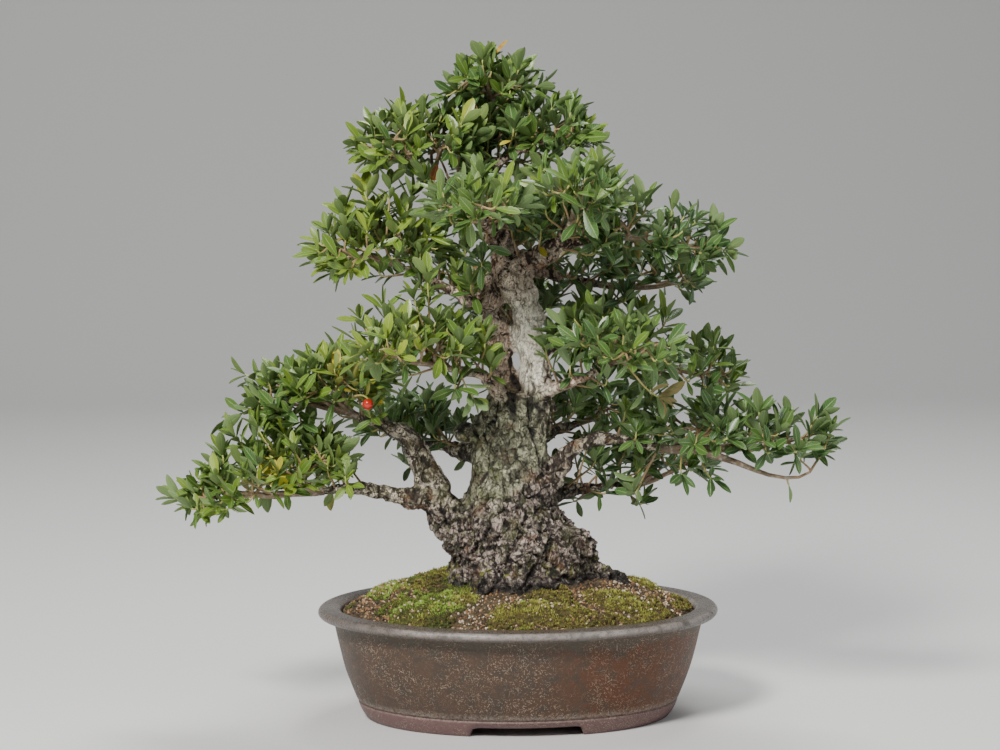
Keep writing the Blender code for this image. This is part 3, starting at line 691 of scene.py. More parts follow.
@dataclass(frozen=True)
class ClayFinish:
    """Unglazed clay: a grey-brown body with pale specks and short scratches, rusty to the right."""

    wall: Colour = (0.078, 0.046, 0.03)
    rust: Coat = Coat((0.1, 0.032, 0.009))
    shade: Coat = Coat((0.044, 0.038, 0.029), 0.75)
    bloom: Coat = Coat((0.09, 0.086, 0.064), 0.5)
    lip: Colour = (0.112, 0.098, 0.09)
    lip_brown: Coat = Coat((0.07, 0.048, 0.038), 0.75)
    # A painted highlight along the front of the lip's rounded roll.
    lip_painted_highlight: Coat = Coat((0.47, 0.425, 0.395), 0.8)
    foot: Coat = Coat((0.15, 0.084, 0.08))
    joint_dust: Coat = Coat((0.3, 0.25, 0.21), 0.7)
    wall_dust: Coat = Coat((0.3, 0.25, 0.21), 0.22)
    pit: Coat = Coat((0.035, 0.026, 0.022), 0.5)
    speck: Coat = Coat((0.5, 0.38, 0.27), 0.72)
    # Heights and places along the pot, in millimetres, between which a zone begins or ends.
    rust_from: Span = (75.0, 165.0)
    bloom_from: Span = (60.0, 67.0)
    lip_from: Span = (63.4, 64.6)
    # The lip's painted highlight: the heights where it begins and ends, and where along the pot it grows.
    highlight_from: Span = (65.6, 68.6)
    highlight_until: Span = (70.0, 69.2)
    highlight_along: Span = (-90.0, -10.0)
    foot_until: Span = (12.0, 10.6)
    joint_from: Span = (9.0, 11.5)
    joint_until: Span = (16.5, 11.5)
    fewer_scratches_from: Span = (63.0, 64.0)
    gloss_from: Span = (63.5, 65.0)
    # Scratches of three sizes: their cells' width, their own width, how many cells have one, strength.
    scratches: tuple[tuple[float, float, float, float], ...] = (
        (4.4, 0.2, 0.4, 1.0), (2.3, 0.2, 0.46, 1.0), (1.3, 0.22, 0.5, 0.8),
    )
    depth: float = 0.45

    def make(self) -> Material:
        """Draws the zones by height, among them a painted highlight along the lip's front roll, and the
        clouds, specks and scratches by noise.

        Returns:
            The material.
        """
        g = Graph("unglazed_clay")
        at, across, height = g.place(), g.axis("X"), g.axis("Z")
        clouds = g.noise(at, 48.0, 4.0)
        mottle = g.noise(at, 9.0, 5.0, 0.65)
        fine = g.noise(at, 1.8, 5.0, 0.7)
        rusty = (across + 150.0 * clouds).between(*self.rust_from)
        bloomed = (height + 12.0 * mottle).between(*self.bloom_from)
        shaded = mottle.between(0.42, 0.68)
        wall = g.layers(self.wall, (rusty, self.rust), (shaded, self.shade), (bloomed, self.bloom))
        browned = (mottle * 0.6 + clouds * 0.6).between(0.5, 0.72)
        # A painted highlight on the front of the lip's roll, broken by noise and weaker to the left.
        painted_highlight = (height + fine * 1.8).between(*self.highlight_from) * height.between(*self.highlight_until)
        painted_highlight = painted_highlight * mottle.between(0.3, 0.6) * fine.between(0.8, 0.3)
        painted_highlight = painted_highlight * (across + 60.0 * clouds).between(*self.highlight_along).at_least(0.25)
        lip = g.layers(self.lip, (browned, self.lip_brown), (painted_highlight, self.lip_painted_highlight))
        joint = height.between(*self.joint_until) * height.between(*self.joint_from) * fine.between(0.35, 0.6)
        patchy = g.noise(at, 26.0, 3.0).between(0.36, 0.58).at_least(0.12)
        bright = g.noise(at, 3.1, 2.0).between(0.3, 0.6).at_least(0.1)
        scratched = sum(g.dashes(at, *size) * strength for *size, strength in self.scratches)
        pale = scratched * patchy * bright * (1.0 - height.between(*self.fewer_scratches_from) * 0.4)
        colour = g.layers(
            g.blend(height.between(*self.lip_from), wall, lip),
            (height.between(*self.foot_until), self.foot),
            (joint, self.joint_dust),
            (fine.between(0.56, 0.72), self.wall_dust),
            (fine.between(0.46, 0.32), self.pit),
            (pale, self.speck),
        )
        bumps = g.bump(fine * 0.8 + pale * 0.5 + mottle * 1.2, self.depth)
        gloss = 0.44 - height.between(*self.gloss_from) * 0.24 + fine * 0.16
        return g.done(base_color=colour, roughness=gloss, normal=bumps, specular_ior_level=0.4)


class BarkPattern:
    """The bark's zones, each a value that is 1 inside it and 0 outside, and its flakes and grain."""

    # Heights and places across the trunk, in millimetres, between which a zone begins or ends.
    BASE_UNTIL: Span = (128.0, 146.0)
    BASE_HIGHER: Span = (-15.0, 30.0)
    STEMS_FROM: Span = (196.0, 212.0)
    CREAM_FROM: Span = (3.5, 6.5)
    # The cream ends before the stem's right edge, which stays brown as painted shade.
    CREAM_UNTIL: Span = (31.0, 23.0)
    CREAM_BACK: Span = (24.0, 14.0)
    CREAM_TOP: Span = (294.0, 260.0)
    TAN_UNTIL: Span = (300.0, 270.0)

    def __init__(self, g: Graph) -> None:
        """Reads the piece's marks and works out every value that the finish uses more than once.

        Args:
            g: The bark's graph.
        """
        self.graph = g
        self.at = g.place()
        self.height, self.across = g.axis("Z"), g.axis("X")
        self.relief, self.proud, self.limb = (g.mark(name) for name in ("relief", "proud", "limb"))
        swirl = g.vector("MULTIPLY", g.noise(self.at, 7.0, 2.0, 0.5, "Color"), (0.006, 0.006, 0.006))
        self.bent = g.vector("ADD", g.place((1.0, 1.0, 0.7)), swirl)
        self.big, self.big_own, self.big_edge = g.flakes(self.bent, 7.0)
        self.small, self.small_own, self.small_edge = g.flakes(self.bent, 3.2)
        taller = g.vector("MULTIPLY", self.bent, (1.0, 1.0, 0.7))
        self.chip, self.chip_own, self.chip_edge = g.flakes(taller, 1.9)
        self.grain = g.noise(self.at, 2.1, 5.0, 0.66)
        self.wander = g.noise(self.at, 22.0, 4.0) * 46.0 - 23.0
        higher = self.across.between(*self.BASE_HIGHER) * 20.0
        self.low = (self.height + self.wander - higher).between(*self.BASE_UNTIL)
        self.high = (self.height + self.wander * 0.5).between(*self.STEMS_FROM)
        self.cream = self.creamy()
        self.limbs = self.limb * (1.0 - self.cream)
        self.calm = self.low * (1.0 - self.high) * (1.0 - self.limb)
        self.tan = self.high * (1.0 - self.cream) * (self.height + self.wander).between(*self.TAN_UNTIL)
        self.crumbly = (1.0 - self.low) * (1.0 - self.limb * 0.4)

    def creamy(self) -> Value:
        """Where the right stem is bare and cream: a strip that leans as the stem does, with the stem's right
        edge left out as painted shade.

        Returns:
            1 inside the strip and 0 outside it.
        """
        leaning = self.across + (self.height - 240.0) * 0.2 + self.wander * 0.08
        strip = leaning.between(*self.CREAM_FROM) * self.across.between(*self.CREAM_UNTIL)
        front = self.graph.axis("Y").between(*self.CREAM_BACK)
        top = (self.height + self.wander * 0.6 + self.grain * 14.0).between(*self.CREAM_TOP)
        return strip * front * self.high * top

    def lightness(self) -> Value:
        """How light the bark is: flakes, grain and relief, strengthened zone by zone, much of it painted
        light: flakes lighter on their raised side and darker on their low one, painted highlights on raised
        edges and where the bark stands proud, and painted shade where it is sunk.

        Returns:
            A share from 0 for the dark tone to 1 for the light one.
        """
        # Painted highlights on the flakes' raised edges.
        painted_highlight = self.big.between(0.66, 0.84) * 0.1 + self.small.between(0.66, 0.84) * 0.14
        # Each flake's own tone, and painted light across it: lighter on its raised side, darker on its low
        # side.
        plates = self.big_own * 0.12 + (self.big - 0.5) * 0.24
        flakes = self.small_own * 0.12 + (self.small - 0.5) * 0.3
        mixed = plates + flakes + self.grain * 0.42 + painted_highlight
        # The proud mark paints highlights where the bark stands above its neighbours and shade where it is
        # sunk below them.
        light = mixed + (self.proud - 0.5) * (0.52 + self.limbs * 0.2) + self.cream * 0.31 - 0.38
        contrast = 1.0 + self.limbs * 0.6 - self.calm * 0.4 - self.cream * 0.3
        broad = self.graph.noise(self.graph.place((1.0, 1.0, 0.4)), 8.0, 3.0) - 0.5
        spread = (0.22 + self.calm * 0.33) * (1.0 - self.cream * 0.8)
        # The same painted light across the smallest flakes where the bark is crumbly, with their own tones.
        crumbs = (self.chip - 0.5) * 0.36 + self.chip_own * 0.14 + (self.small - 0.5) * 0.12 + 0.01
        light = light * contrast + broad * spread + self.tan * 0.2 + 0.44 + self.crumbly * crumbs
        return light.between(0.22, 0.68)


@dataclass(frozen=True)
class BarkFinish:
    """Bark: crumbly and pinkish grey at the base, olive grey plates above, whitish on the stems."""

    base: Colour = (0.034, 0.023, 0.019)
    base_light: Colour = (0.54, 0.435, 0.365)
    plate: Colour = (0.08, 0.077, 0.045)
    plate_light: Colour = (0.53, 0.535, 0.355)
    stem: Colour = (0.075, 0.04, 0.026)
    stem_light: Colour = (0.74, 0.56, 0.42)
    cream: Colour = (0.3, 0.235, 0.165)
    # Near white: the stem's pale bark, made lighter still as painted light where light falls on the stem.
    cream_light: Colour = (1.0, 0.95, 0.78)
    limb: Coat = Coat((0.042, 0.026, 0.018), 0.85)
    limb_shade: Coat = Coat((0.042, 0.026, 0.018), 0.6)
    limb_light: Coat = Coat((0.46, 0.38, 0.27), 0.8)
    rust: Coat = Coat((0.2, 0.09, 0.035))
    algae: Coat = Coat((0.17, 0.2, 0.06), 0.45)
    lichen: Coat = Coat((0.74, 0.65, 0.5))
    root: Coat = Coat((0.03, 0.027, 0.026), 0.85)
    moss: Coat = Coat((0.24, 0.25, 0.02), 0.75)
    # Near black: painted shade in cracks, between flakes and in hollows.
    crack: Coat = Coat((0.012, 0.009, 0.007))
    # Heights in millimetres between which a growth begins or ends.
    algae_until: Span = (230.0, 170.0)
    root_until: Span = (102.0, 94.0)
    moss_from: Span = (91.0, 94.0)
    moss_until: Span = (104.0, 97.0)

    def body(self, g: Graph, p: BarkPattern) -> Value:
        """The bark's colour: each zone's dark and light tone, blended by how light it is, which holds painted
        light and shade.

        Args:
            g: The bark's graph.
            p: The bark's pattern.

        Returns:
            The colour.
        """
        stems_dark = g.blend(p.cream, self.stem, self.cream)
        stems_light = g.blend(p.cream, self.stem_light, self.cream_light)
        dark = g.blend(p.high, g.blend(p.low, self.base, self.plate), stems_dark)
        light = g.blend(p.high, g.blend(p.low, self.base_light, self.plate_light), stems_light)
        dark = g.layers(dark, (p.limbs, self.limb))
        light = g.layers(light, (p.limbs * (1.0 - p.high), self.limb_light))
        return g.blend(p.lightness(), dark, light)

    def grown(self, g: Graph, p: BarkPattern, colour: Value) -> Value:
        """The bark with what lies on it: shade and rust, algae, lichen, damp roots and moss.

        Args:
            g: The bark's graph.
            p: The bark's pattern.
            colour: The bark's colour, with its painted light and shade.

        Returns:
            The colour.
        """
        shaded = g.noise(p.at, 12.0, 3.0, 0.6).between(0.48, 0.6) * p.limbs * (1.0 - p.high * 0.6)
        rusty = (g.noise(p.at, 13.0, 4.0) + p.grain * 0.2).between(0.64, 0.76) * (1.0 - p.cream)
        green = (g.noise(p.at, 9.0, 4.0) - p.across * 0.0022 * p.low).between(0.48, 0.66)
        crust = g.noise(p.at, 11.0, 5.0, 0.62) + p.grain * 0.24 + p.limb * 0.02 + (p.proud - 0.5) * 0.1
        mossy = g.noise(p.at, 7.0, 4.0).between(0.54, 0.6) * p.height.between(*self.moss_from)
        return g.layers(
            colour,
            (shaded, self.limb_shade),
            (rusty * (0.4 + p.limbs * 0.25 + p.crumbly * 0.2), self.rust),
            (green * p.height.between(*self.algae_until) * (1.0 - p.limb * 0.8), self.algae),
            (crust.between(0.68, 0.72) * (0.2 + p.limb * 0.7) * (1.0 - p.high * 0.4), self.lichen),
            ((p.height + p.grain * 14.0).between(*self.root_until), self.root),
            (mossy * p.height.between(*self.moss_until), self.moss),
        )

    def make(self) -> Material:
        """Draws the zones by height, painted shade in the cracks by the relief's marks, between flakes and in
        hollows, and flakes and lichen by noise.

        Returns:
            The material.
        """
        g = Graph("old_bark")
        p = BarkPattern(g)
        edges = p.big_edge * 0.8 + p.small_edge * 0.4 + p.chip_edge * p.crumbly * 0.3
        # The lines between flakes where noise opens them: painted shade in the colour, and sunk in the bump.
        open_edge = edges * g.noise(p.at, 4.0, 2.0).between(0.34, 0.6)
        # Thin lines of painted shade, as in fine cracks.
        lines = (g.noise(p.bent, 3.4, 5.0, 0.62) - 0.5).size().between(0.022, 0.004) * (1.0 - p.cream * 0.25)
        colour = g.layers(
            self.grown(g, p, self.body(g, p)),
            # Painted shade, from the top: between flakes, in fine lines, in the relief's cracks, and where
            # the bark is sunk below its neighbours.
            (open_edge * (0.85 - p.high * 0.5), self.crack),
            (lines * 0.7, self.crack),
            (p.relief.between(0.44, 0.0) * (0.88 - p.cream * 0.4), self.crack),
            (p.proud.between(0.34, 0.04) * (0.94 - p.cream * 0.3), self.crack),
        )
        scales = p.big + p.small * 0.42 + p.chip * p.crumbly * 0.16
        facets = g.bump(scales - open_edge * 0.4 - lines * 0.2, 4.4 - p.high * 2.0 - p.calm * 1.2)
        normal = g.bump(p.grain + g.noise(p.at, 0.8, 3.0, 0.7) * 0.4, 0.6, facets)
        return g.done(base_color=colour, roughness=0.66, normal=normal)


@dataclass(frozen=True)
class LeafFinish:
    """A leathery leaf: satin green by its tone, with a pale midrib, faint side veins and a pale edge."""

    tones: tuple[tuple[float, Colour], ...] = (
        (0.0, (0.034, 0.09, 0.035)),
        (0.3, (0.056, 0.132, 0.024)),
        (0.55, (0.12, 0.21, 0.018)),
        (0.8, (0.25, 0.345, 0.028)),
        (0.93, (0.6, 0.46, 0.03)),
        (1.0, (0.3, 0.07, 0.02)),
    )
    vein: Colour = (0.4, 0.5, 0.2)
    under: Colour = (0.18, 0.26, 0.1)

    def make(self) -> Material:
        """Draws the veins from the marks across and along each leaf.

        Returns:
            The material.
        """
        g = Graph("leathery_leaf")
        across = g.mark("across").size()
        along = g.mark("along")
        tone = g.mark("tone")
        blotch = g.noise(g.place(), 4.0, 3.0)
        colour = g.ramp(tone + (blotch - 0.5) * 0.12, self.tones)
        rib = across.between(0.13, 0.03)
        wave = g.node("ShaderNodeMath", {0: (along - across * 0.16) * 62.0}, operation="SINE")
        side = wave.between(0.75, 1.0) * (1.0 - rib) * 0.16
        edge = across.between(0.84, 1.0) * 0.4
        colour = g.blend(rib * 0.5 + side + edge, colour, self.vein)
        colour = g.blend(g.mark("under") * 0.6, colour, self.under)
        gloss = 0.22 + blotch * 0.18 + g.mark("under") * 0.28
        normal = g.bump(1.0 - rib - side, 0.12)
        return g.done(base_color=colour, roughness=gloss, normal=normal)


@dataclass(frozen=True)
class TwigFinish:
    """Twigs: yellow-green where young, tan and then grey with pale flecks where old."""

    stops: tuple[tuple[float, Colour], ...] = (
        (0.0, (0.17, 0.13, 0.09)),
        (0.35, (0.27, 0.18, 0.09)),
        (0.65, (0.4, 0.31, 0.11)),
        (1.0, (0.4, 0.45, 0.11)),
    )
    fleck: Colour = (0.5, 0.46, 0.38)

    def make(self) -> Material:
        """Reads the colour off the mark of how young each stretch of a twig is.

        Returns:
            The material.
        """
        g = Graph("twig_bark")
        at = g.place()
        youth = g.mark("youth")
        colour = g.ramp(youth + (g.noise(at, 5.0) - 0.5) * 0.25, self.stops)
        flecks = g.noise(at, 2.6, 4.0).between(0.52, 0.64) * (1.0 - youth) * 0.5
        colour = g.blend(flecks, colour, self.fleck)
        normal = g.bump(g.noise(at, 1.1, 3.0), 0.3)
        return g.done(base_color=colour, roughness=0.75 - youth * 0.25, normal=normal)


@dataclass(frozen=True)
class EarthFinish:
    """Dark damp soil with crumbs of many browns."""

    dark: Colour = (0.034, 0.024, 0.014)
    light: Colour = (0.19, 0.135, 0.07)

    def make(self) -> Material:
        """Draws the crumbs by cells and the clouds by noise.

        Returns:
            The material.
        """
        g = Graph("damp_soil")
        at = g.place()
        crumbs = g.spots(at, 1.6)
        shade = (g.noise(at, 12.0, 4.0) * 0.7 + g.noise(at, 1.5, 3.0) * 0.6 - crumbs * 0.3).between(0.3, 0.85)
        colour = g.blend(shade, self.dark, self.light)
        return g.done(base_color=colour, roughness=0.95, normal=g.bump(1.0 - crumbs, 0.8))


@dataclass(frozen=True)
class GritFinish:
    """Grit: pinkish white, tan, orange and dark grains."""

    stops: tuple[tuple[float, Colour], ...] = (
        (0.0, (0.03, 0.024, 0.02)),
        (0.3, (0.11, 0.07, 0.042)),
        (0.5, (0.29, 0.145, 0.06)),
        (0.7, (0.42, 0.26, 0.14)),
        (0.86, (0.58, 0.45, 0.31)),
        (1.0, (0.88, 0.79, 0.63)),
    )

    def make(self) -> Material:
        """Reads the colour off each grain's mark.

        Returns:
            The material.
        """
        g = Graph("soil_grit")
        at = g.place()
        colour = g.ramp(g.mark("tone") + (g.noise(at, 1.2, 2.0) - 0.5) * 0.12, self.stops)
        return g.done(base_color=colour, roughness=0.85, normal=g.bump(g.noise(at, 0.7, 2.0), 0.2))


@dataclass(frozen=True)
class MossFinish:
    """Moss: brown at the base, olive to bright yellow-green at the tips."""

    stops: tuple[tuple[float, Colour], ...] = (
        (0.0, (0.035, 0.027, 0.01)),
        (0.22, (0.11, 0.088, 0.022)),
        (0.45, (0.26, 0.24, 0.04)),
        (0.7, (0.4, 0.46, 0.07)),
        (1.0, (0.72, 0.74, 0.22)),
    )
    greener: Colour = (0.68, 1.0, 0.7)

    def make(self) -> Material:
        """Reads the colour off the mark of how bright each frond is.

        Returns:
            The material.
        """
        g = Graph("green_moss")
        at = g.place()
        colour = g.ramp(g.mark("tone") + (g.noise(at, 3.0, 3.0) - 0.5) * 0.3, self.stops)
        greener = (g.noise(at, 16.0, 3.0) - g.axis("X") * 0.003).between(0.5, 0.72)
        colour = g.blend(greener, colour, self.greener, "MULTIPLY")
        return g.done(base_color=colour, roughness=0.9, normal=g.bump(g.noise(at, 0.9, 3.0), 0.4))


@dataclass(frozen=True)
class BerryFinish:
    """A ripe berry's thin glossy skin with tiny pale dots."""

    skin: Colour = (0.52, 0.022, 0.01)
    dark: Colour = (0.26, 0.01, 0.005)
    dot: Colour = (0.8, 0.25, 0.12)

    def make(self) -> Material:
        """Draws darker clouds by noise and dots by cells.

        Returns:
            The material.
        """
        g = Graph("berry_skin")
        at = g.place()
        colour = g.blend(g.noise(at, 3.0).between(0.5, 0.75) * 0.6, self.skin, self.dark)
        colour = g.blend(g.spots(at, 0.7).between(0.2, 0.1) * 0.25, colour, self.dot)
        normal = g.bump(g.noise(at, 1.5), 0.08)
        return g.done(base_color=colour, roughness=0.22, coat_weight=0.4, normal=normal)


@dataclass(frozen=True)
class NetFinish:
    """Black plastic net with a dull moulded face and some dust."""

    plastic: Colour = (0.02, 0.02, 0.021)
    dust: Colour = (0.16, 0.12, 0.08)

    def make(self) -> Material:
        """Draws the dust by noise.

        Returns:
            The material.
        """
        g = Graph("plastic_net")
        at = g.place()
        dust = g.noise(at, 6.0, 4.0).between(0.5, 0.75)
        colour = g.blend(dust * 0.5, self.plastic, self.dust)
        return g.done(base_color=colour, roughness=0.45 + dust * 0.3, normal=g.bump(g.noise(at, 0.8), 0.1))


@dataclass(frozen=True)
class Finishes:
    """Every material of the tree and its pot, each made once."""

    clay: Material = field(default_factory=ClayFinish().make)
    bark: Material = field(default_factory=BarkFinish().make)
    leaf: Material = field(default_factory=LeafFinish().make)
    twig: Material = field(default_factory=TwigFinish().make)
    earth: Material = field(default_factory=EarthFinish().make)
    grit: Material = field(default_factory=GritFinish().make)
    moss: Material = field(default_factory=MossFinish().make)
    berry: Material = field(default_factory=BerryFinish().make)
    net: Material = field(default_factory=NetFinish().make)


@dataclass
class Pot:
    """The oval pot: a rolled lip, plain walls, a foot band with a notch, and two drainage holes."""

    middle_x: float = 10.0
    length: float = 252.0
    depth: float = 196.0
    columns: int = 224
    band_top: float = 10.0
    notch_half: float = 35.0
    notch_height: float = 5.5
    notch_slant: float = 2.0
    foot_inset: float = 31.0
    drain_radius: float = 8.0
    drain_offset: float = 46.0
    drill_heights: Place = (2.0, 10.0, 20.0)
    unevenness: float = 0.35
    # Heights between which the wall's uneven surface begins and ends, and the lip's begins.
    wall_from: Span = (12.0, 20.0)
    wall_until: Span = (66.0, 62.0)
    lip_from: Span = (60.0, 66.0)
    # The wall's section: distance inside the lip's outer edge, height, and radius of each corner.
    section: tuple[Place, ...] = (
        (42.0, 6.5, 0.5), (41.0, 6.5, 0.8), (39.5, 0.0, 0.8), (31.0, 0.0, 1.2), (27.2, 5.0, 3.0),
        (25.2, 10.0, 0.5), (26.3, 11.0, 0.3), (24.4, 12.2, 0.6), (17.4, 29.5, 12.0), (12.7, 48.0, 10.0),
        (9.4, 63.0, 1.2), (1.6, 63.9, 1.6), (-0.2, 66.8, 2.0), (1.8, 70.0, 2.2), (12.2, 70.1, 1.6),
        (14.4, 68.6, 1.0), (16.2, 62.0, 4.0), (22.4, 35.0, 10.0), (34.0, 13.5, 6.0), (36.0, 13.5, 0.5),
    )

    def rounded(self, steps: int = 4) -> Floats:
        """The section with each corner turned to an arc: the Bezier curve from one side to the other.

        Args:
            steps: How many points each arc has.

        Returns:
            Insets and heights along the section.
        """
        corners = np.array(self.section)
        t = np.linspace(0.0, 1.0, steps)[:, None]
        points = [corners[:1, :2]]
        for before, here, after in zip(corners, corners[1:], corners[2:]):
            reach = [min(here[2], 0.45 * np.linalg.norm(end[:2] - here[:2])) for end in (before, after)]
            start, end = (here[:2] + unit(e[:2] - here[:2]) * r for e, r in zip((before, after), reach))
            points.append((1 - t) ** 2 * start + 2 * t * (1 - t) * here[:2] + t**2 * end)
        points.append(corners[-1:, :2])
        return np.concatenate(points)

    def dense(self, spacing: float = 3.6) -> Floats:
        """The rounded section with points added where two lie further apart than the spacing.

        Args:
            spacing: The widest gap between two points.

        Returns:
            Insets and heights along the section.
        """
        line = self.rounded()
        gaps = np.linalg.norm(np.diff(line, axis=0), axis=1)
        counts = np.maximum(1, np.ceil(gaps / spacing).astype(int))
        runs = [a + (b - a) * (np.arange(n) / n)[:, None] for a, b, n in zip(line, line[1:], counts)]
        return np.concatenate([*runs, line[-1:]])

    def notched(self, x: Floats, z: Floats) -> Floats:
        """Heights of the foot band, squeezed upwards where the notch parts it.

        Args:
            x: Each point's place along the pot.
            z: Its height.

        Returns:
            The new heights: lift + z * (band top - lift) / band top below the band's top.
        """
        inside = self.notch_half - np.abs(x - self.middle_x)
        lift = self.notch_height * np.clip(inside / self.notch_slant, 0.0, 1.0)
        return np.where(z < self.band_top, lift + z * (self.band_top - lift) / self.band_top, z)

    def angles(self) -> Floats:
        """Angles round the pot, drawn together at the notch's four sides.

        Returns:
            The angles, from 0 to a whole turn.
        """
        angle = full_turn(self.columns)
        foot = self.length / 2 - self.foot_inset
        for half in (self.notch_half, self.notch_half - self.notch_slant):
            for corner in (math.acos(half / foot), math.pi - math.acos(half / foot)):
                for wanted in (corner, math.tau - corner):
                    angle[np.abs(angle - wanted).argmin()] = wanted
        return np.sort(angle)

    def build(self, finish: Material) -> None:
        """The section carried round the oval: x = (length/2 - inset) cos a, y = (depth/2 - inset) sin a.

        Args:
            finish: The pot's material.
        """
        line = self.dense()
        inset, height = line[:, :1], line[:, 1:]
        middle, half = (self.middle_x, 0.0), (self.length / 2 - inset, self.depth / 2 - inset)
        x, y = on_oval(middle, half, 1.0, self.angles())
        points = xyz(x, y, self.notched(x, height)).reshape(-1, 3)
        hand = Noise(5)
        wall = rise_between(points[:, 2], *self.wall_from) * rise_between(points[:, 2], *self.wall_until)
        outward = unit((points - (*middle, 0.0)) * LEVEL)
        points += outward * (hand.fractal(points, 26.0) * self.unevenness * wall)[:, None]
        lip = rise_between(points[:, 2], *self.lip_from)
        points[:, 2] += hand.smooth(points, 60.0) * self.unevenness * lip
        rings = points.reshape(len(line), self.columns, 3)[:, ::-1]
        surface = closed_rings(rings, (*middle, line[0, 1]), (*middle, line[-1, 1]))
        piece = make_piece("clay_pot", surface, finish, 50.0)
        self.drill(piece)
        settle(piece, ["pot"])

    def drill(self, piece: Object) -> None:
        """Cuts the two drainage holes through the pot's floor with one Boolean, which is applied.

        Args:
            piece: The pot.
        """
        places = [self.middle_x + side * self.drain_offset for side in (-1.0, 1.0)]
        paths = np.array([[[x, 0.0, z] for z in self.drill_heights] for x in places])
        radii = np.full((2, 3), self.drain_radius)
        drill = make_piece("drill", tubes(paths, radii, 40), piece.data.materials[0])
        cut = piece.modifiers.new("drain_holes", "BOOLEAN")
        cut.operation = "DIFFERENCE"
        cut.object = drill
        apply_modifier(piece)
        bpy.data.objects.remove(drill)


@dataclass(frozen=True)
class Mound:
    """The soil's top: just under the lip at the pot's wall, highest at the trunk."""

    middle_x: float = 10.0
    half_length: float = 110.2
    half_depth: float = 82.2
    edge: float = 67.0
    rise: float = 27.0
    tilt: float = 5.0

    def share(self, x: Floats, y: Floats) -> Floats:
        """How far out a place is: 0 at the middle and 1 at the pot's wall."""
        return np.hypot((x - self.middle_x) / self.half_length, y / self.half_depth)

    def place(self, share: Amount, angle: Floats, inset: Amount = 0.0) -> tuple[Floats, Floats]:
        """x and y at a share of the way out to an oval that lies this far inside the pot's wall."""
        half = (self.half_length - inset, self.half_depth - inset)
        return on_oval((self.middle_x, 0.0), half, share, angle)

    def height(self, x: Floats, y: Floats) -> Floats:
        """The smooth mound's height: edge + (rise + tilt * y / half depth) * (1 - share^2)."""
        swell = self.rise + self.tilt * y / self.half_depth
        return self.edge + swell * np.clip(1.0 - self.share(x, y) ** 2, 0.0, 1.0)


@dataclass(frozen=True)
class Cushion:
    """One moss cushion: its middle, half sizes and height above the soil."""

    name: str
    x: float
    y: float
    half_x: float
    half_y: float
    height: float
    brightness: float

    def spread(self, x: Floats, y: Floats) -> Floats:
        """The square of how far out a place is: 0 at the middle and 1 on the cushion's border."""
        return ((x - self.x) / self.half_x) ** 2 + ((y - self.y) / self.half_y) ** 2

    def place(self, share: Floats, angle: Floats) -> tuple[Floats, Floats]:
        """x and y at a share of the way out to the border."""
        return on_oval((self.x, self.y), (self.half_x, self.half_y), share, angle)


CUSHIONS = (
    Cushion("front_left", -46.0, -45.0, 29.0, 15.0, 4.8, 0.66),
    Cushion("front", 14.0, -63.0, 27.0, 12.5, 4.2, 0.5),
    Cushion("front_right", 70.0, -42.0, 25.0, 13.0, 4.4, 0.52),
    Cushion("right", 92.0, 12.0, 13.0, 21.0, 3.6, 0.56),
    Cushion("left", -72.0, 8.0, 15.0, 23.0, 4.2, 0.58),
    Cushion("back_right", 42.0, 60.0, 32.0, 11.0, 4.0, 0.6),
)


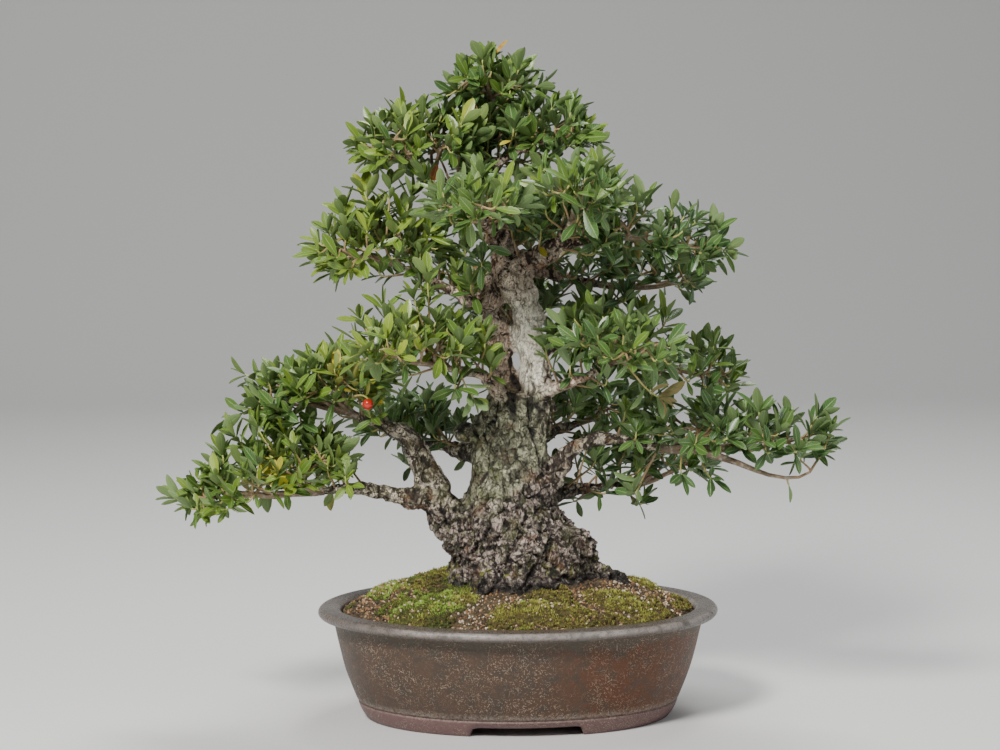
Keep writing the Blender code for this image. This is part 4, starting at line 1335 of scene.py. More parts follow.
@dataclass
class Ground:
    """The soil, its loose grit and its moss."""

    mound: Mound = Mound()
    rings: int = 56
    columns: int = 160
    lump_size: float = 13.0
    lump_height: float = 2.0
    # Below the top: how far inside the wall each ring of the soil's sides lies, and its height.
    sides: tuple[Span, ...] = ((19.5, 14.4), (18.0, 15.4), (6.8, 35.5), (0.6, 62.0))
    # The trunk's foot, which stays free of grit and moss: its middle and its half sizes.
    foot: tuple[float, float, float, float] = (12.0, -0.5, 40.0, 34.0)
    grains: int = 8200
    grain_length: float = 1.15
    knob_size: float = 6.5
    frond_height: float = 1.5
    fronds_per_mm2: float = 1.9
    tufts: int = 1700
    fronds_per_tuft: int = 11
    root_tone: float = 0.25

    def relief(self, x: Floats, y: Floats) -> Floats:
        """The soil's height with its lumps: the mound plus fractal noise.

        Args:
            x: Each place's x.
            y: Its y.

        Returns:
            The height there.
        """
        lumps = Noise(11).fractal(xyz(x, y, 0.0), self.lump_size, 4) * self.lump_height
        inner = rise_between(1.0 - self.mound.share(x, y), 0.0, 0.08)
        return self.mound.height(x, y) + lumps * inner

    def covered(self, x: Floats, y: Floats) -> NDArray[np.bool_]:
        """Which places lie under a moss cushion."""
        return np.min([cushion.spread(x, y) for cushion in CUSHIONS], axis=0) < 0.7

    def build_soil(self, finish: Material) -> None:
        """The soil's body: a lumpy top on rings of one shape, and plain sides down into the pot.

        Args:
            finish: The soil's material.
        """
        share = np.linspace(0.02, 1.0, self.rings)[::-1, None]
        angle = full_turn(self.columns)
        x, y = self.mound.place(share, angle)
        top = xyz(x, y, self.relief(x, y))
        inset, height = np.array(self.sides).T[:, :, None]
        sides = xyz(*self.mound.place(1.0, angle, inset), height)
        piece = make_piece("soil_bed", closed_rings(np.concatenate([sides, top])), finish)
        settle(piece, ["soil"])

    def scatter(self, count: int, seed: int) -> Floats:
        """Places spread evenly at random over the mound, outside the trunk.

        Args:
            count: How many places are drawn before those under the trunk are left out.
            seed: Of the draw.

        Returns:
            x and y of each place.
        """
        draw = default_rng(seed)
        turn = random_angles(draw, count)
        out = np.sqrt(draw.random(count)) * 0.985
        x, y = self.mound.place(out, turn)
        foot_x, foot_y, half_x, half_y = self.foot
        clear = np.hypot((x - foot_x) / half_x, (y - foot_y) / half_y) > 1.0
        return np.stack([x, y], axis=-1)[clear]

    def build_grit(self, finish: Material) -> None:
        """Loose grains: icosahedra of uneven radius, turned at random and half sunk in the soil.

        Args:
            finish: The grit's material.
        """
        draw = default_rng(21)
        spots = self.scatter(self.grains, 22)
        hidden = self.covered(*spots.T)
        kept = ~hidden | (draw.random(len(spots)) < 0.24 + 0.66 * rise_between(-spots[:, 0], 56.0, 80.0))
        spots, hidden = spots[kept], hidden[kept]
        corners, faces = round_grain()
        count = len(spots)
        size = (0.5 + 0.85 * draw.random(count) ** 2.5) * np.where(hidden, 0.78, 1.0)
        uneven = 1.0 + 0.28 * (draw.random((count, len(corners))) - 0.5) * 2
        squash = xyz(self.grain_length, *(0.45 + 0.45 * draw.random((2, count))))
        local = corners[None] * uneven[:, :, None] * squash[:, None] * size[:, None, None]
        turned = local @ random_turns(count, draw)
        height = self.relief(*spots.T)
        for cushion in CUSHIONS:
            mossy = self.cushion_height(cushion, *spots.T) + 0.7
            height = np.where(hidden, np.maximum(height, mossy), height)
        places = xyz(*spots.T, height + size * 0.35)
        surface = repeated(turned + places[:, None], [faces])
        side = rise_between(-spots[:, 0], 20.0, 90.0) * 0.5 * draw.random(count)
        bare = np.clip(0.52 + 0.84 * (draw.random(count) - 0.42) - side * 0.62, 0.0, 1.0)
        away_from_trunk = rise_between(self.mound.share(*spots.T), 0.42, 0.62)
        on_moss = 1.0 - (0.45 - 0.1 * rise_between(spots[:, 0], -80.0, -50.0)) * draw.random(count)
        tone = np.where(hidden, on_moss, bare) * (0.35 + 0.65 * away_from_trunk)
        surface.point_marks["tone"] = np.repeat(tone, len(corners))
        settle(make_piece("grit", surface, finish, 20.0))

    def fronds(self, roots: Floats, tone: Floats, seed: int) -> Surface:
        """Tiny moss fronds: three-sided spikes that lean outwards at random.

        Args:
            roots: Where each frond stands.
            tone: How bright each frond's tip is.
            seed: Of their leans and sizes.

        Returns:
            The fronds, with the mark "tone" darker at the roots.
        """
        draw = default_rng(seed)
        count = len(roots)
        lean = draw.normal(0.0, 0.62, (count, 3)) * LEVEL + UP
        height = self.frond_height * (0.5 + draw.random(count))
        tip = roots + unit(lean) * height[:, None]
        turn = random_angles(draw, count)[:, None] + full_turn(3)
        wide = (0.38 + 0.34 * draw.random(count))[:, None, None]
        foot = roots[:, None] + wide * xyz(np.cos(turn), np.sin(turn), 0.0)
        foot[:, :, 2] -= 0.4
        points = np.concatenate([foot, tip[:, None]], axis=1)
        surface = repeated(points, [np.array([[0, 1, 3], [1, 2, 3], [2, 0, 3], [2, 1, 0]])])
        tone = np.clip(tone + 0.25 * Noise(34).fractal(roots, 2.6) + draw.normal(0.0, 0.13, count), 0.0, 1.0)
        surface.point_marks["tone"] = np.outer(tone, [self.root_tone] * 3 + [1.0]).ravel()
        return surface

    def cushion_height(self, cushion: Cushion, x: Floats, y: Floats) -> Floats:
        """The soil under a cushion plus its dome: height * (1 - spread)^0.6 with rounded knobs.

        Args:
            cushion: The cushion.
            x: Each place's x.
            y: Its y.

        Returns:
            The cushion's height there.
        """
        out = cushion.spread(x, y)
        flat = xyz(x, y, 0.0)
        knobs = 1.0 - Noise(31).cells(flat, self.knob_size)[0]
        dome = np.clip(1.0 - out, 0.0, 1.0) ** 0.6
        ground = self.mound.height(x, y) + 0.8 * Noise(35).fractal(flat, self.lump_size)
        edge = np.where(out < 1.3, 0.9 * (1.0 - dome), 9.0)
        return ground + cushion.height * dome * (0.2 + knobs) - edge

    def build_cushion(self, cushion: Cushion, index: int, finish: Material) -> None:
        """A moss cushion: a knobbly dome on rings round its middle, covered in fronds.

        Args:
            cushion: Its place and size.
            index: Its number, which seeds its random draws.
            finish: The moss's material.
        """
        angle = full_turn(72)
        ways = xyz(np.cos(angle), np.sin(angle), index * 3.7)
        wave = 1.0 + 0.34 * Noise(32).fractal(ways, 0.5)
        x, y = cushion.place(np.linspace(1.0, 0.03, 26)[:, None] * wave, angle)
        top = xyz(x, y, self.cushion_height(cushion, x, y))
        body = closed_rings(np.concatenate([top[:1] - (0.0, 0.0, 3.0), top]))
        body.point_marks["tone"] = np.full(len(body.points), 0.12)
        draw = default_rng(40 + index)
        count = int(cushion.half_x * cushion.half_y * math.pi * self.fronds_per_mm2)
        turn = random_angles(draw, count)
        border = np.interp(turn, angle, wave, period=math.tau)
        x, y = cushion.place(np.sqrt(draw.random(count)) * border, turn)
        roots = xyz(x, y, self.cushion_height(cushion, x, y))
        knobs = Noise(31).cells(xyz(x, y, 0.0), self.knob_size)[0]
        tone = cushion.brightness + 0.4 * Noise(33).fractal(roots, 9.0) + 0.5 - 0.9 * knobs
        surface = joined([body, self.fronds(roots, tone, 50 + index)])
        piece = make_piece("moss_cushion_" + cushion.name, surface, finish, 180.0)
        settle(piece, ["moss_" + cushion.name])

    def build_stray_moss(self, finish: Material) -> None:
        """Small tufts in patches between the cushions: a flattened grain with fronds all over it.

        Args:
            finish: The moss's material.
        """
        spots = self.scatter(self.tufts * 3, 61)
        near = 1.0 - rise_between(self.mound.share(*spots.T), 0.4, 0.55)
        bias = 0.14 * near + 0.1 * (spots[:, 1] > 10.0) - 0.3 * rise_between(-spots[:, 0], 60.0, 80.0)
        cover = Noise(62).fractal(xyz(*spots.T, 0.0), 24.0) + bias
        spots = spots[(cover > 0.02) & ~self.covered(*spots.T)][: self.tufts]
        draw = default_rng(63)
        count = len(spots)
        size = 1.2 + 2.4 * draw.random(count) ** 2
        middle = xyz(*spots.T, self.relief(*spots.T))
        corners, faces = round_grain()
        shape = corners * (1.0, 1.0, 0.5)
        lumps = repeated(middle[:, None] + shape[None] * size[:, None, None], [faces])
        tone = 0.5 + 0.34 * Noise(64).fractal(middle, 14.0)
        lumps.point_marks["tone"] = np.repeat(tone * self.root_tone, len(corners))
        turn = random_angles(draw, (count, self.fronds_per_tuft))
        out = np.sqrt(draw.random(turn.shape)) * 1.05
        dome = 0.5 * np.sqrt(np.clip(1.0 - out**2, 0.0, 1.0))
        local = xyz(out * np.cos(turn), out * np.sin(turn), dome)
        roots = (middle[:, None] + local * size[:, None, None]).reshape(-1, 3)
        surface = joined([lumps, self.fronds(roots, np.repeat(tone, self.fronds_per_tuft), 65)])
        settle(make_piece("stray_moss", surface, finish, 180.0))

    def build(self, finishes: Finishes) -> None:
        """Soil, grit, the six cushions and the thin moss between them.

        Args:
            finishes: The materials.
        """
        self.build_soil(finishes.earth)
        self.build_grit(finishes.grit)
        for index, cushion in enumerate(CUSHIONS):
            self.build_cushion(cushion, index, finishes.moss)
        self.build_stray_moss(finishes.moss)


def round_grain() -> tuple[Floats, Ints]:
    """An icosahedron of radius 1.

    Returns:
        Its corners and its faces.
    """
    ball = bmesh.new()
    bmesh.ops.create_icosphere(ball, subdivisions=1, radius=1.0)
    corners = np.array([corner.co for corner in ball.verts])
    faces = np.array([[corner.index for corner in face.verts] for face in ball.faces])
    ball.free()
    return corners, faces


def random_turns(count: int, draw: Generator) -> Floats:
    """Rotation matrices spread evenly at random, from unit quaternions.

    Args:
        count: How many.
        draw: The source of the random numbers.

    Returns:
        An array of count by 3 by 3.
    """
    w, x, y, z = unit(draw.normal(size=(count, 4))).T
    rows = [
        [1 - 2 * (y * y + z * z), 2 * (x * y - z * w), 2 * (x * z + y * w)],
        [2 * (x * y + z * w), 1 - 2 * (x * x + z * z), 2 * (y * z - x * w)],
        [2 * (x * z - y * w), 2 * (y * z + x * w), 1 - 2 * (x * x + y * y)],
    ]
    return np.array(rows).transpose(2, 0, 1)


# Limbs: points along each, from inside what it grows from to the end that bears its spray, and its
# radius at each.
LIMBS: dict[str, list[tuple[float, float, float, float]]] = {
    "trunk": [(10, 0, 44, 40), (12, 0, 93, 38), (12, 0, 114, 34), (4, 0, 132, 26), (4, 0, 150, 22),
              (5, 0, 181, 22), (10, 0, 206, 17)],
    "stem_right": [(21, -2, 192, 14), (20, -2, 217, 11.2), (17, -1, 237, 10), (13, -1, 259, 10),
                   (6, 2, 277, 12), (-1, 6, 299, 9.5), (-7, 9, 320, 7.5), (-11, 7, 345, 6), (-9, 3, 366, 4),
                   (-6, 1, 386, 2.6)],
    "stem_left": [(2, 5, 194, 10), (-1, 5, 218, 7.8), (-5, 4, 238, 7.2), (-7, 4, 257, 8.6), (-2, 3, 274, 9.4),
                  (4, 3, 286, 8)],
    "left_low": [(-10, 1, 106, 17), (-32, 2, 123, 13.5), (-42, 0, 139, 11), (-48, -1, 155, 9.4),
                 (-54, -2, 169, 8.2), (-62, -3, 179, 6.6), (-75, -4, 185, 4.6), (-92, -5, 191, 3.2)],
    "left_lowest": [(-40, 0, 137, 9), (-57, -4, 139, 6.6), (-75, -8, 143, 5.4), (-93, -13, 147, 4.4),
                    (-114, -15, 145, 3.2)],
    "right_low": [(16, 3, 128, 12), (31, -2, 151, 8.4), (39, -8, 166, 6.6), (54, -13, 175, 5.8),
                  (73, -18, 176, 4.8), (96, -24, 171, 3.6)],
    "right_back": [(18, 6, 136, 8), (46, 24, 139, 5.2), (72, 44, 138, 3.8), (88, 52, 137, 3)],
    "upper_left": [(-3, 3, 262, 8), (-17, -1, 262, 5.6), (-34, -4, 269, 4.6), (-52, -8, 278, 3.4),
                   (-64, -10, 284, 2.8)],
    "upper_right": [(3, 2, 280, 10), (16, -11, 288, 7.2), (31, -21, 297, 5.8), (50, -25, 300, 4.2),
                    (66, -29, 302, 3.2)],
    "mid_left": [(4, -6, 198, 7), (-14, -26, 218, 4), (-32, -42, 223, 3.2), (-44, -50, 226, 2.6)],
    "mid_right": [(24, -8, 204, 7), (37, -30, 212, 4.4), (50, -44, 219, 3.2), (58, -50, 224, 2.6)],
    "right_mid": [(18, 3, 226, 7), (46, 24, 235, 4.2), (78, 36, 233, 3.2), (98, 40, 223, 2.6)],
    "apex_left": [(-9, 8, 326, 6), (-24, 2, 331, 3.6), (-38, -4, 337, 2.8)],
    "apex_right": [(-10, 7, 342, 5), (6, -2, 352, 3.2), (20, -8, 358, 2.6)],
    "apex_back": [(-10, 7, 344, 4.6), (-7, 30, 354, 3), (-5, 46, 361, 2.4)],
    "upper_back": [(0, 6, 290, 7), (10, 42, 294, 4), (19, 62, 296, 3)],
    "upper_front": [(-4, 6, 307, 6), (-12, -32, 309, 3.6), (-17, -56, 314, 2.8)],
    "upper_fork": [(31, -21, 297, 4.6), (36, -38, 308, 3.2), (39, -48, 315, 2.6)],
    "upper_right_back": [(4, 6, 281, 8), (30, 29, 276, 4.6), (58, 40, 269, 3.6), (80, 45, 266, 2.8)],
    "mid_back": [(12, 3, 240, 8), (11, 46, 242, 4.4), (9, 66, 244, 3)],
    "left_back": [(-4, 8, 163, 10), (-32, 46, 164, 5), (-48, 74, 165, 3.4)],
    "back_low": [(14, 8, 173, 10), (40, 44, 175, 4.6), (54, 66, 176, 3.2)],
}


def limb_line(name: str) -> Floats:
    """A limb's points and radii as an array."""
    return np.array(LIMBS[name], float)


@dataclass
class Skeleton:
    """The wood as capsules, for finding how near and how thick the nearest wood is."""

    starts: Floats
    ends: Floats
    radii: Floats

    @classmethod
    def from_limbs(cls) -> "Skeleton":
        """One capsule for each stretch between two points of a limb.

        Returns:
            The skeleton.
        """
        lines = [limb_line(name) for name in LIMBS]
        starts = np.concatenate([line[:-1] for line in lines])
        ends = np.concatenate([line[1:] for line in lines])
        return cls(starts[:, :3], ends[:, :3], (starts[:, 3] + ends[:, 3]) / 2)

    def nearest(self, points: Floats) -> tuple[Floats, Floats]:
        """How far each point lies outside the nearest wood, and that wood's radius.

        Args:
            points: An array of points by 3.

        Returns:
            The gaps and the radii.
        """
        gap = np.full(len(points), 1e9)
        girth = np.zeros(len(points))
        for start, end, radius in zip(self.starts, self.ends, self.radii):
            along = end - start
            t = np.clip((points - start) @ along / (along @ along), 0.0, 1.0)
            away = np.linalg.norm(points - start - t[:, None] * along, axis=1) - radius
            girth = np.where(away < gap, radius, girth)
            gap = np.minimum(gap, away)
        return gap, girth


@dataclass
class Wood:
    """Trunk, roots and limbs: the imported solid's shape refined, relaxed and given its bark."""

    skeleton: Skeleton
    voxel: float = 1.16
    rounds: int = 6
    plate_depth: float = 1.3
    flake_depth: float = 1.3
    clump_depth: float = 3.2
    seam_depth: float = 1.8
    gap_depth: float = 0.8
    crumb_depth: float = 0.8
    level_rounds: int = 14
    # Heights between which the base's bark gives way to plates, and the fork's clumps begin.
    base_until: Span = (152.0, 126.0)
    fork_from: Span = (250.0, 264.0)
    # Hollows: middle, radius and depth. The first is above the bulge on the right of the base.
    hollows: tuple[tuple[float, float, float, float, float], ...] = (
        (45, -6, 126, 10, 6), (4, -38, 123, 4, 4), (4, -38, 117, 4, 4), (5, -38, 111, 4, 3),
        (13, -36, 126, 5, 3), (22, -34, 126, 5, 3), (31, -28, 126, 6, 3), (-4, -38, 97, 7, 5),
        (17, -40, 98, 6, 5), (-22, -34, 101, 7, 4),
    )
    # Knobs that swell the wood: middle and radius. The first four are the dark knees in the soil.
    knobs: tuple[tuple[float, float, float, float], ...] = (
        (-14, -35, 86, 8.5), (9, -38, 85, 9.0), (24, -35, 88, 7.5), (-30, -25, 91, 7.0), (47, -10, 102, 11.0),
        (-24, -8, 180, 7.0), (2, -8, 272, 10.0), (-8, -4, 262, 8.0), (12, -8, 262, 8.5), (22, -14, 288, 8.0),
        (-28, -4, 118, 9.0), (-40, -5, 146, 8.0), (-50, -4, 161, 7.0), (-33, 0, 131, 9.5), (30, -8, 147, 7.5),
        (38, -9, 160, 6.5), (-56, -5, 171, 6.5), (-30, -14, 112, 8.0), (48, -8, 110, 9.0),
        (-45, -1, 138, 8.0), (-12, 2, 318, 7.0), (-9, 6, 340, 6.5), (-22, -4, 263, 6.0), (28, -16, 292, 6.5),
        (-1, 4, 245, 6), (0.5, 4, 237, 6), (2, 4, 229, 6), (2.5, 4, 221, 6), (4, 4, 213, 6.5),
    )

    def refined(self) -> Object:
        """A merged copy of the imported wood, filled with even small faces by a Remesh modifier.

        Returns:
            The copy, with the knobs on it, as an object of its own.
        """
        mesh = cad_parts["trunk_and_limbs"].data.copy()
        shape = bmesh.new()
        shape.from_mesh(mesh)
        bmesh.ops.remove_doubles(shape, verts=shape.verts, dist=0.01 * MM)
        for x, y, z, radius in self.knobs:
            place = Matrix.Translation(Vector((x, y, z)) * MM)
            bmesh.ops.create_icosphere(shape, subdivisions=3, radius=radius * MM, matrix=place)
        shape.to_mesh(mesh)
        shape.free()
        rough = bpy.data.objects.new("rough_wood", mesh)
        bpy.context.scene.collection.objects.link(rough)
        remesh = rough.modifiers.new("even", "REMESH")
        remesh.mode = "VOXEL"
        remesh.voxel_size = self.voxel * MM
        apply_modifier(rough)
        return rough

    def relax(self, values: Floats, edges: Ints, rounds: int) -> Floats:
        """Moves every point's values towards the mean of its neighbours', several times over.

        Args:
            values: An array of points by any number of values.
            edges: The two points of each edge.
            rounds: How many times.

        Returns:
            The relaxed values: each round gives 0.4 * old + 0.6 * neighbours' mean.
        """
        count = np.bincount(edges.ravel(), minlength=len(values))[:, None]
        for _ in range(rounds):
            near = np.stack([
                np.bincount(edges[:, 0], column[edges[:, 1]], len(values))
                + np.bincount(edges[:, 1], column[edges[:, 0]], len(values))
                for column in values.T
            ], axis=-1)
            values = values * 0.4 + near / count * 0.6
        return values

    def normals(self, points: Floats, faces: Ints) -> Floats:
        """The mean of the normals of the faces round each point, each the cross of its diagonals.

        Args:
            points: The mesh's points.
            faces: Its four-sided faces.

        Returns:
            Each point's normal.
        """
        a, b, c, d = (points[faces[:, k]] for k in range(4))
        across = np.cross(c - a, d - b)
        total = np.zeros_like(points)
        for k in range(4):
            for axis in range(3):
                total[:, axis] += np.bincount(faces[:, k], across[:, axis], len(points))
        return unit(total)

    def bark(self, points: Floats) -> tuple[Floats, Floats, Floats]:
        """How far the bark stands out at each point.

        Upwards of the base: shingles stretched along the trunk, parted by long cracks where stretched
        noise passes through 0. At the base and about the fork: shingles of three sizes on each other.
        Crumbs and knots are fractal noise. All shrink with the wood's thickness.

        Args:
            points: Points on the wood.

        Returns:
            The height at each, the relief as a mark from 0 in a crack to 1, and how much like a thin
            limb the wood is.
        """
        _, girth = self.skeleton.nearest(points)
        stout = np.sqrt(np.clip(girth / 24.0, 0.06, 1.0))
        level = points[:, 2] + 16.0 * Noise(70).smooth(points, 25.0)
        fork = rise_between(level, *self.fork_from) * rise_between(girth, 5.0, 9.0)
        higher = 20.0 * rise_between(points[:, 0], *BarkPattern.BASE_HIGHER)
        base = np.maximum(rise_between(level - higher, *self.base_until), 0.75 * fork)
        drift = np.stack([Noise(71 + k).fractal(points, 9.0, 2) for k in range(3)], axis=-1)
        plate, edge, _ = Noise(74).shingles((points + 2.6 * drift) * (1.0, 1.0, 0.6), 7.0)
        long = Noise(75).fractal((points + 3.0 * drift) * (1.0, 1.0, 0.2), 11.0, 2)
        seam = (1.0 - rise_between(np.abs(long), 0.02, 0.16)) * (1.0 - base) * rise_between(girth, 8.0, 14.0)
        clump, gap_edge, _ = Noise(76).shingles(points + 3.4 * drift, 11.0)
        gap = (1.0 - gap_edge) * base
        mid, _, _ = Noise(80).shingles(points + 2.0 * drift, 6.0)
        flake, rim, _ = Noise(77).shingles(points + 1.2 * drift, 3.4)
        crumbs = Noise(78).fractal(points, 4.0, 2)
        knots = Noise(79).fractal(points, 12.0, 2) * np.clip(0.24 * girth, 0.5, 2.2) * (1.0 + 0.4 * base)
        plates = self.plate_depth * plate * (1.0 - base)
        height = stout * (plates + self.clump_depth * (clump + 0.55 * mid) * base)
        height += stout * self.flake_depth * flake * (0.45 + 0.55 * base)
        height -= self.seam_depth * seam + self.gap_depth * gap
        height += knots + self.crumb_depth * stout * crumbs - 0.4
        for x, y, z, radius, depth in self.hollows:
            height -= depth * np.exp(-((points - (x, y, z)) ** 2).sum(axis=1) / radius**2)
        plate_edge = (1.0 - edge) * 0.75 * (1.0 - base) * stout
        sunk = [seam, gap * 0.9, plate_edge, (1.0 - rim) * (0.3 + 0.3 * base) * stout]
        return height, 1.0 - np.max(sunk, axis=0), 1.0 - rise_between(girth, 9.0, 16.0)

    def build(self, finish: Material) -> None:
        """Relaxes the refined wood, pushes it out by its bark and marks the relief.

        Args:
            finish: The bark's material.
        """
        rough = self.refined()
        mesh = rough.data
        points = read_values(mesh.vertices, "co", 3, float)
        edges = read_values(mesh.edges, "vertices", 2, np.int32)
        faces = read_values(mesh.loops, "vertex_index", 1, np.int32).reshape(-1, 4).astype(np.int64)
        points = self.relax(points / MM, edges, self.rounds)
        height, relief, limb = self.bark(points)
        around = self.relax(height[:, None], edges, self.level_rounds)[:, 0]
        proud = np.clip(0.5 + (height - around) * 0.3, 0.0, 1.0)
        points = points + self.normals(points, faces) * height[:, None]
        bpy.data.objects.remove(rough)
        surface = Surface(points, [faces], {"relief": relief, "limb": limb, "proud": proud})
        settle(make_piece("barked_wood", surface, finish, 75.0), ["trunk_and_limbs"])


class Tone(Enum):
    """How a spray's leaves look: 0 is a bluish green and 0.8 a yellow-green."""

    # A darker bluish green: partly the leaves' own hue, partly painted shade for the sprays at the back and
    # on the right.
    SHADED_BLUISH = 0.2
    GREEN = 0.34
    FRESH = 0.48
    YOUNG = 0.54


@dataclass(frozen=True)
class Spray:
    """A leafy spray: the limb that bears it, and the flattened dome that its shoots fill.

    inner says how much further the dome reaches back towards the trunk, bare how much of the limb
    has no shoots, reaching lists shoots that stand out of the dome, where each ends and how many
    leaves it has, bough is a bough of a given course, as a Bezier curve's four points, and density
    says how many shoots it has against the others.
    """

    name: str
    limb: str
    middle: Place
    half: Place
    droop: float
    tone: Tone
    inner: float = 1.3
    bare: float = 0.3
    reaching: tuple[tuple[float, float, float, int], ...] = ()
    bough: tuple[Place, ...] = ()
    density: float = 1.0

    def line(self) -> Floats:
        """The points and radii of the limb that bears it."""
        return limb_line(self.limb)


SPRAYS = (
    Spray("apex", "stem_right", (-7, 1, 393), (34, 30, 32), 0, Tone.GREEN, 1.0, 0.56,
          ((-6, -2, 412, 13), (22, -8, 394, 13), (-36, -6, 388, 13), (9, -10, 404, 11), (-22, -8, 400, 11)),
          density=1.1),
    Spray("apex_left", "apex_left", (-56, -8, 357), (43, 34, 34), 8, Tone.FRESH, 1.5, 0.0,
          ((-62, -14, 377, 13), (-88, -12, 360, 13)), density=1.4),
    Spray("apex_right", "apex_right", (31, -12, 364), (33, 31, 30), 8, Tone.GREEN, 1.5, 0.0,
          ((42, -18, 374, 13), (56, -16, 360, 13)), density=1.1),
    Spray("apex_back", "apex_back", (-3, 63, 370), (34, 34, 27), 10, Tone.GREEN, 1.6, 0.0),
    Spray("upper_left", "upper_left", (-84, -12, 294), (43, 37, 36), 8, Tone.YOUNG, 1.5, 0.1,
          ((-86, -12, 330, 13), (-70, -18, 335, 13), (-58, -26, 328, 13), (-98, -10, 322, 13)), density=1.1),
    Spray("upper_front", "upper_front", (-22, -87, 325), (36, 37, 27), 12, Tone.GREEN, 1.6, 0.1),
    Spray("upper_right", "upper_right", (92, -33, 303), (55, 38, 31), 16, Tone.SHADED_BLUISH, 1.4, 0.15),
    Spray("upper_right_front", "upper_fork", (43, -73, 331), (36, 37, 28), 14, Tone.GREEN, 1.5, 0.0),
    Spray("upper_back", "upper_back", (32, 81, 305), (36, 40, 28), 10, Tone.GREEN, 1.5, 0.1),
    Spray("upper_right_back", "upper_right_back", (106, 52, 271), (40, 32, 25), 10, Tone.SHADED_BLUISH, 1.4, 0.3),
    Spray("mid_left", "mid_left", (-61, -63, 238), (54, 38, 29), 4, Tone.YOUNG, 1.15, 0.3,
          ((-22, -54, 207, 9), (-76, -56, 262, 13), (-58, -60, 268, 13), (-50, -62, 281, 13),
           (-90, -50, 255, 13))),
    Spray("mid_right", "mid_right", (66, -66, 239), (51, 38, 32), 8, Tone.GREEN, 1.15, 0.3,
          ((90, -62, 207, 9),), density=0.9),
    Spray("left_mid", "left_low", (-116, -7, 206), (48, 36, 34), 14, Tone.FRESH, 1.3, 0.8,
          ((-160, -2, 217, 13), (-150, -8, 196, 13), (-138, -16, 190, 13), (-152, 6, 203, 13),
           (-126, -20, 188, 13), (-167, -8, 192, 13)), density=1.4),
    Spray("left_low", "left_lowest", (-150, -20, 151), (59, 37, 31), 16, Tone.FRESH, 1.2, 0.62,
          ((-204, -10, 141, 13), (-186, -12, 136, 4), (-166, -15, 180, 13), (-152, -26, 186, 13),
           (-136, -22, 182, 13), (-120, -20, 180, 13), (-174, -12, 168, 13), (-110, -24, 172, 13),
           (-142, -8, 176, 13), (-130, -34, 174, 13), (-108, -6, 166, 13), (-180, -20, 158, 13)),
          density=1.45),
    Spray("left_back", "left_back", (-58, 82, 172), (36, 40, 27), 8, Tone.SHADED_BLUISH, 1.3, 0.3),
    Spray("right_mid", "right_mid", (126, 42, 210), (40, 34, 30), 8, Tone.GREEN, 1.3, 0.3,
          ((136, 22, 230, 11),)),
    Spray("right_low", "right_low", (146, -36, 179), (65, 38, 31), 8, Tone.SHADED_BLUISH, 1.2, 0.72,
          ((172, -52, 151, 5), (197, -54, 184, 13), (189, -53, 194, 13), (112, -62, 178, 10),
           (132, -64, 182, 10), (124, -52, 156, 5), (106, -50, 158, 5)),
          ((118, -40, 171), (150, -50, 167), (176, -54, 138), (190, -54, 168))),
    Spray("right_back", "right_back", (114, 69, 150), (38, 34, 23), 8, Tone.SHADED_BLUISH, 1.3, 0.3),
    Spray("mid_back", "mid_back", (6, 84, 253), (36, 42, 29), 8, Tone.GREEN, 1.4, 0.3),
    Spray("back_low", "back_low", (68, 80, 184), (32, 38, 24), 8, Tone.SHADED_BLUISH, 1.4, 0.3),
)


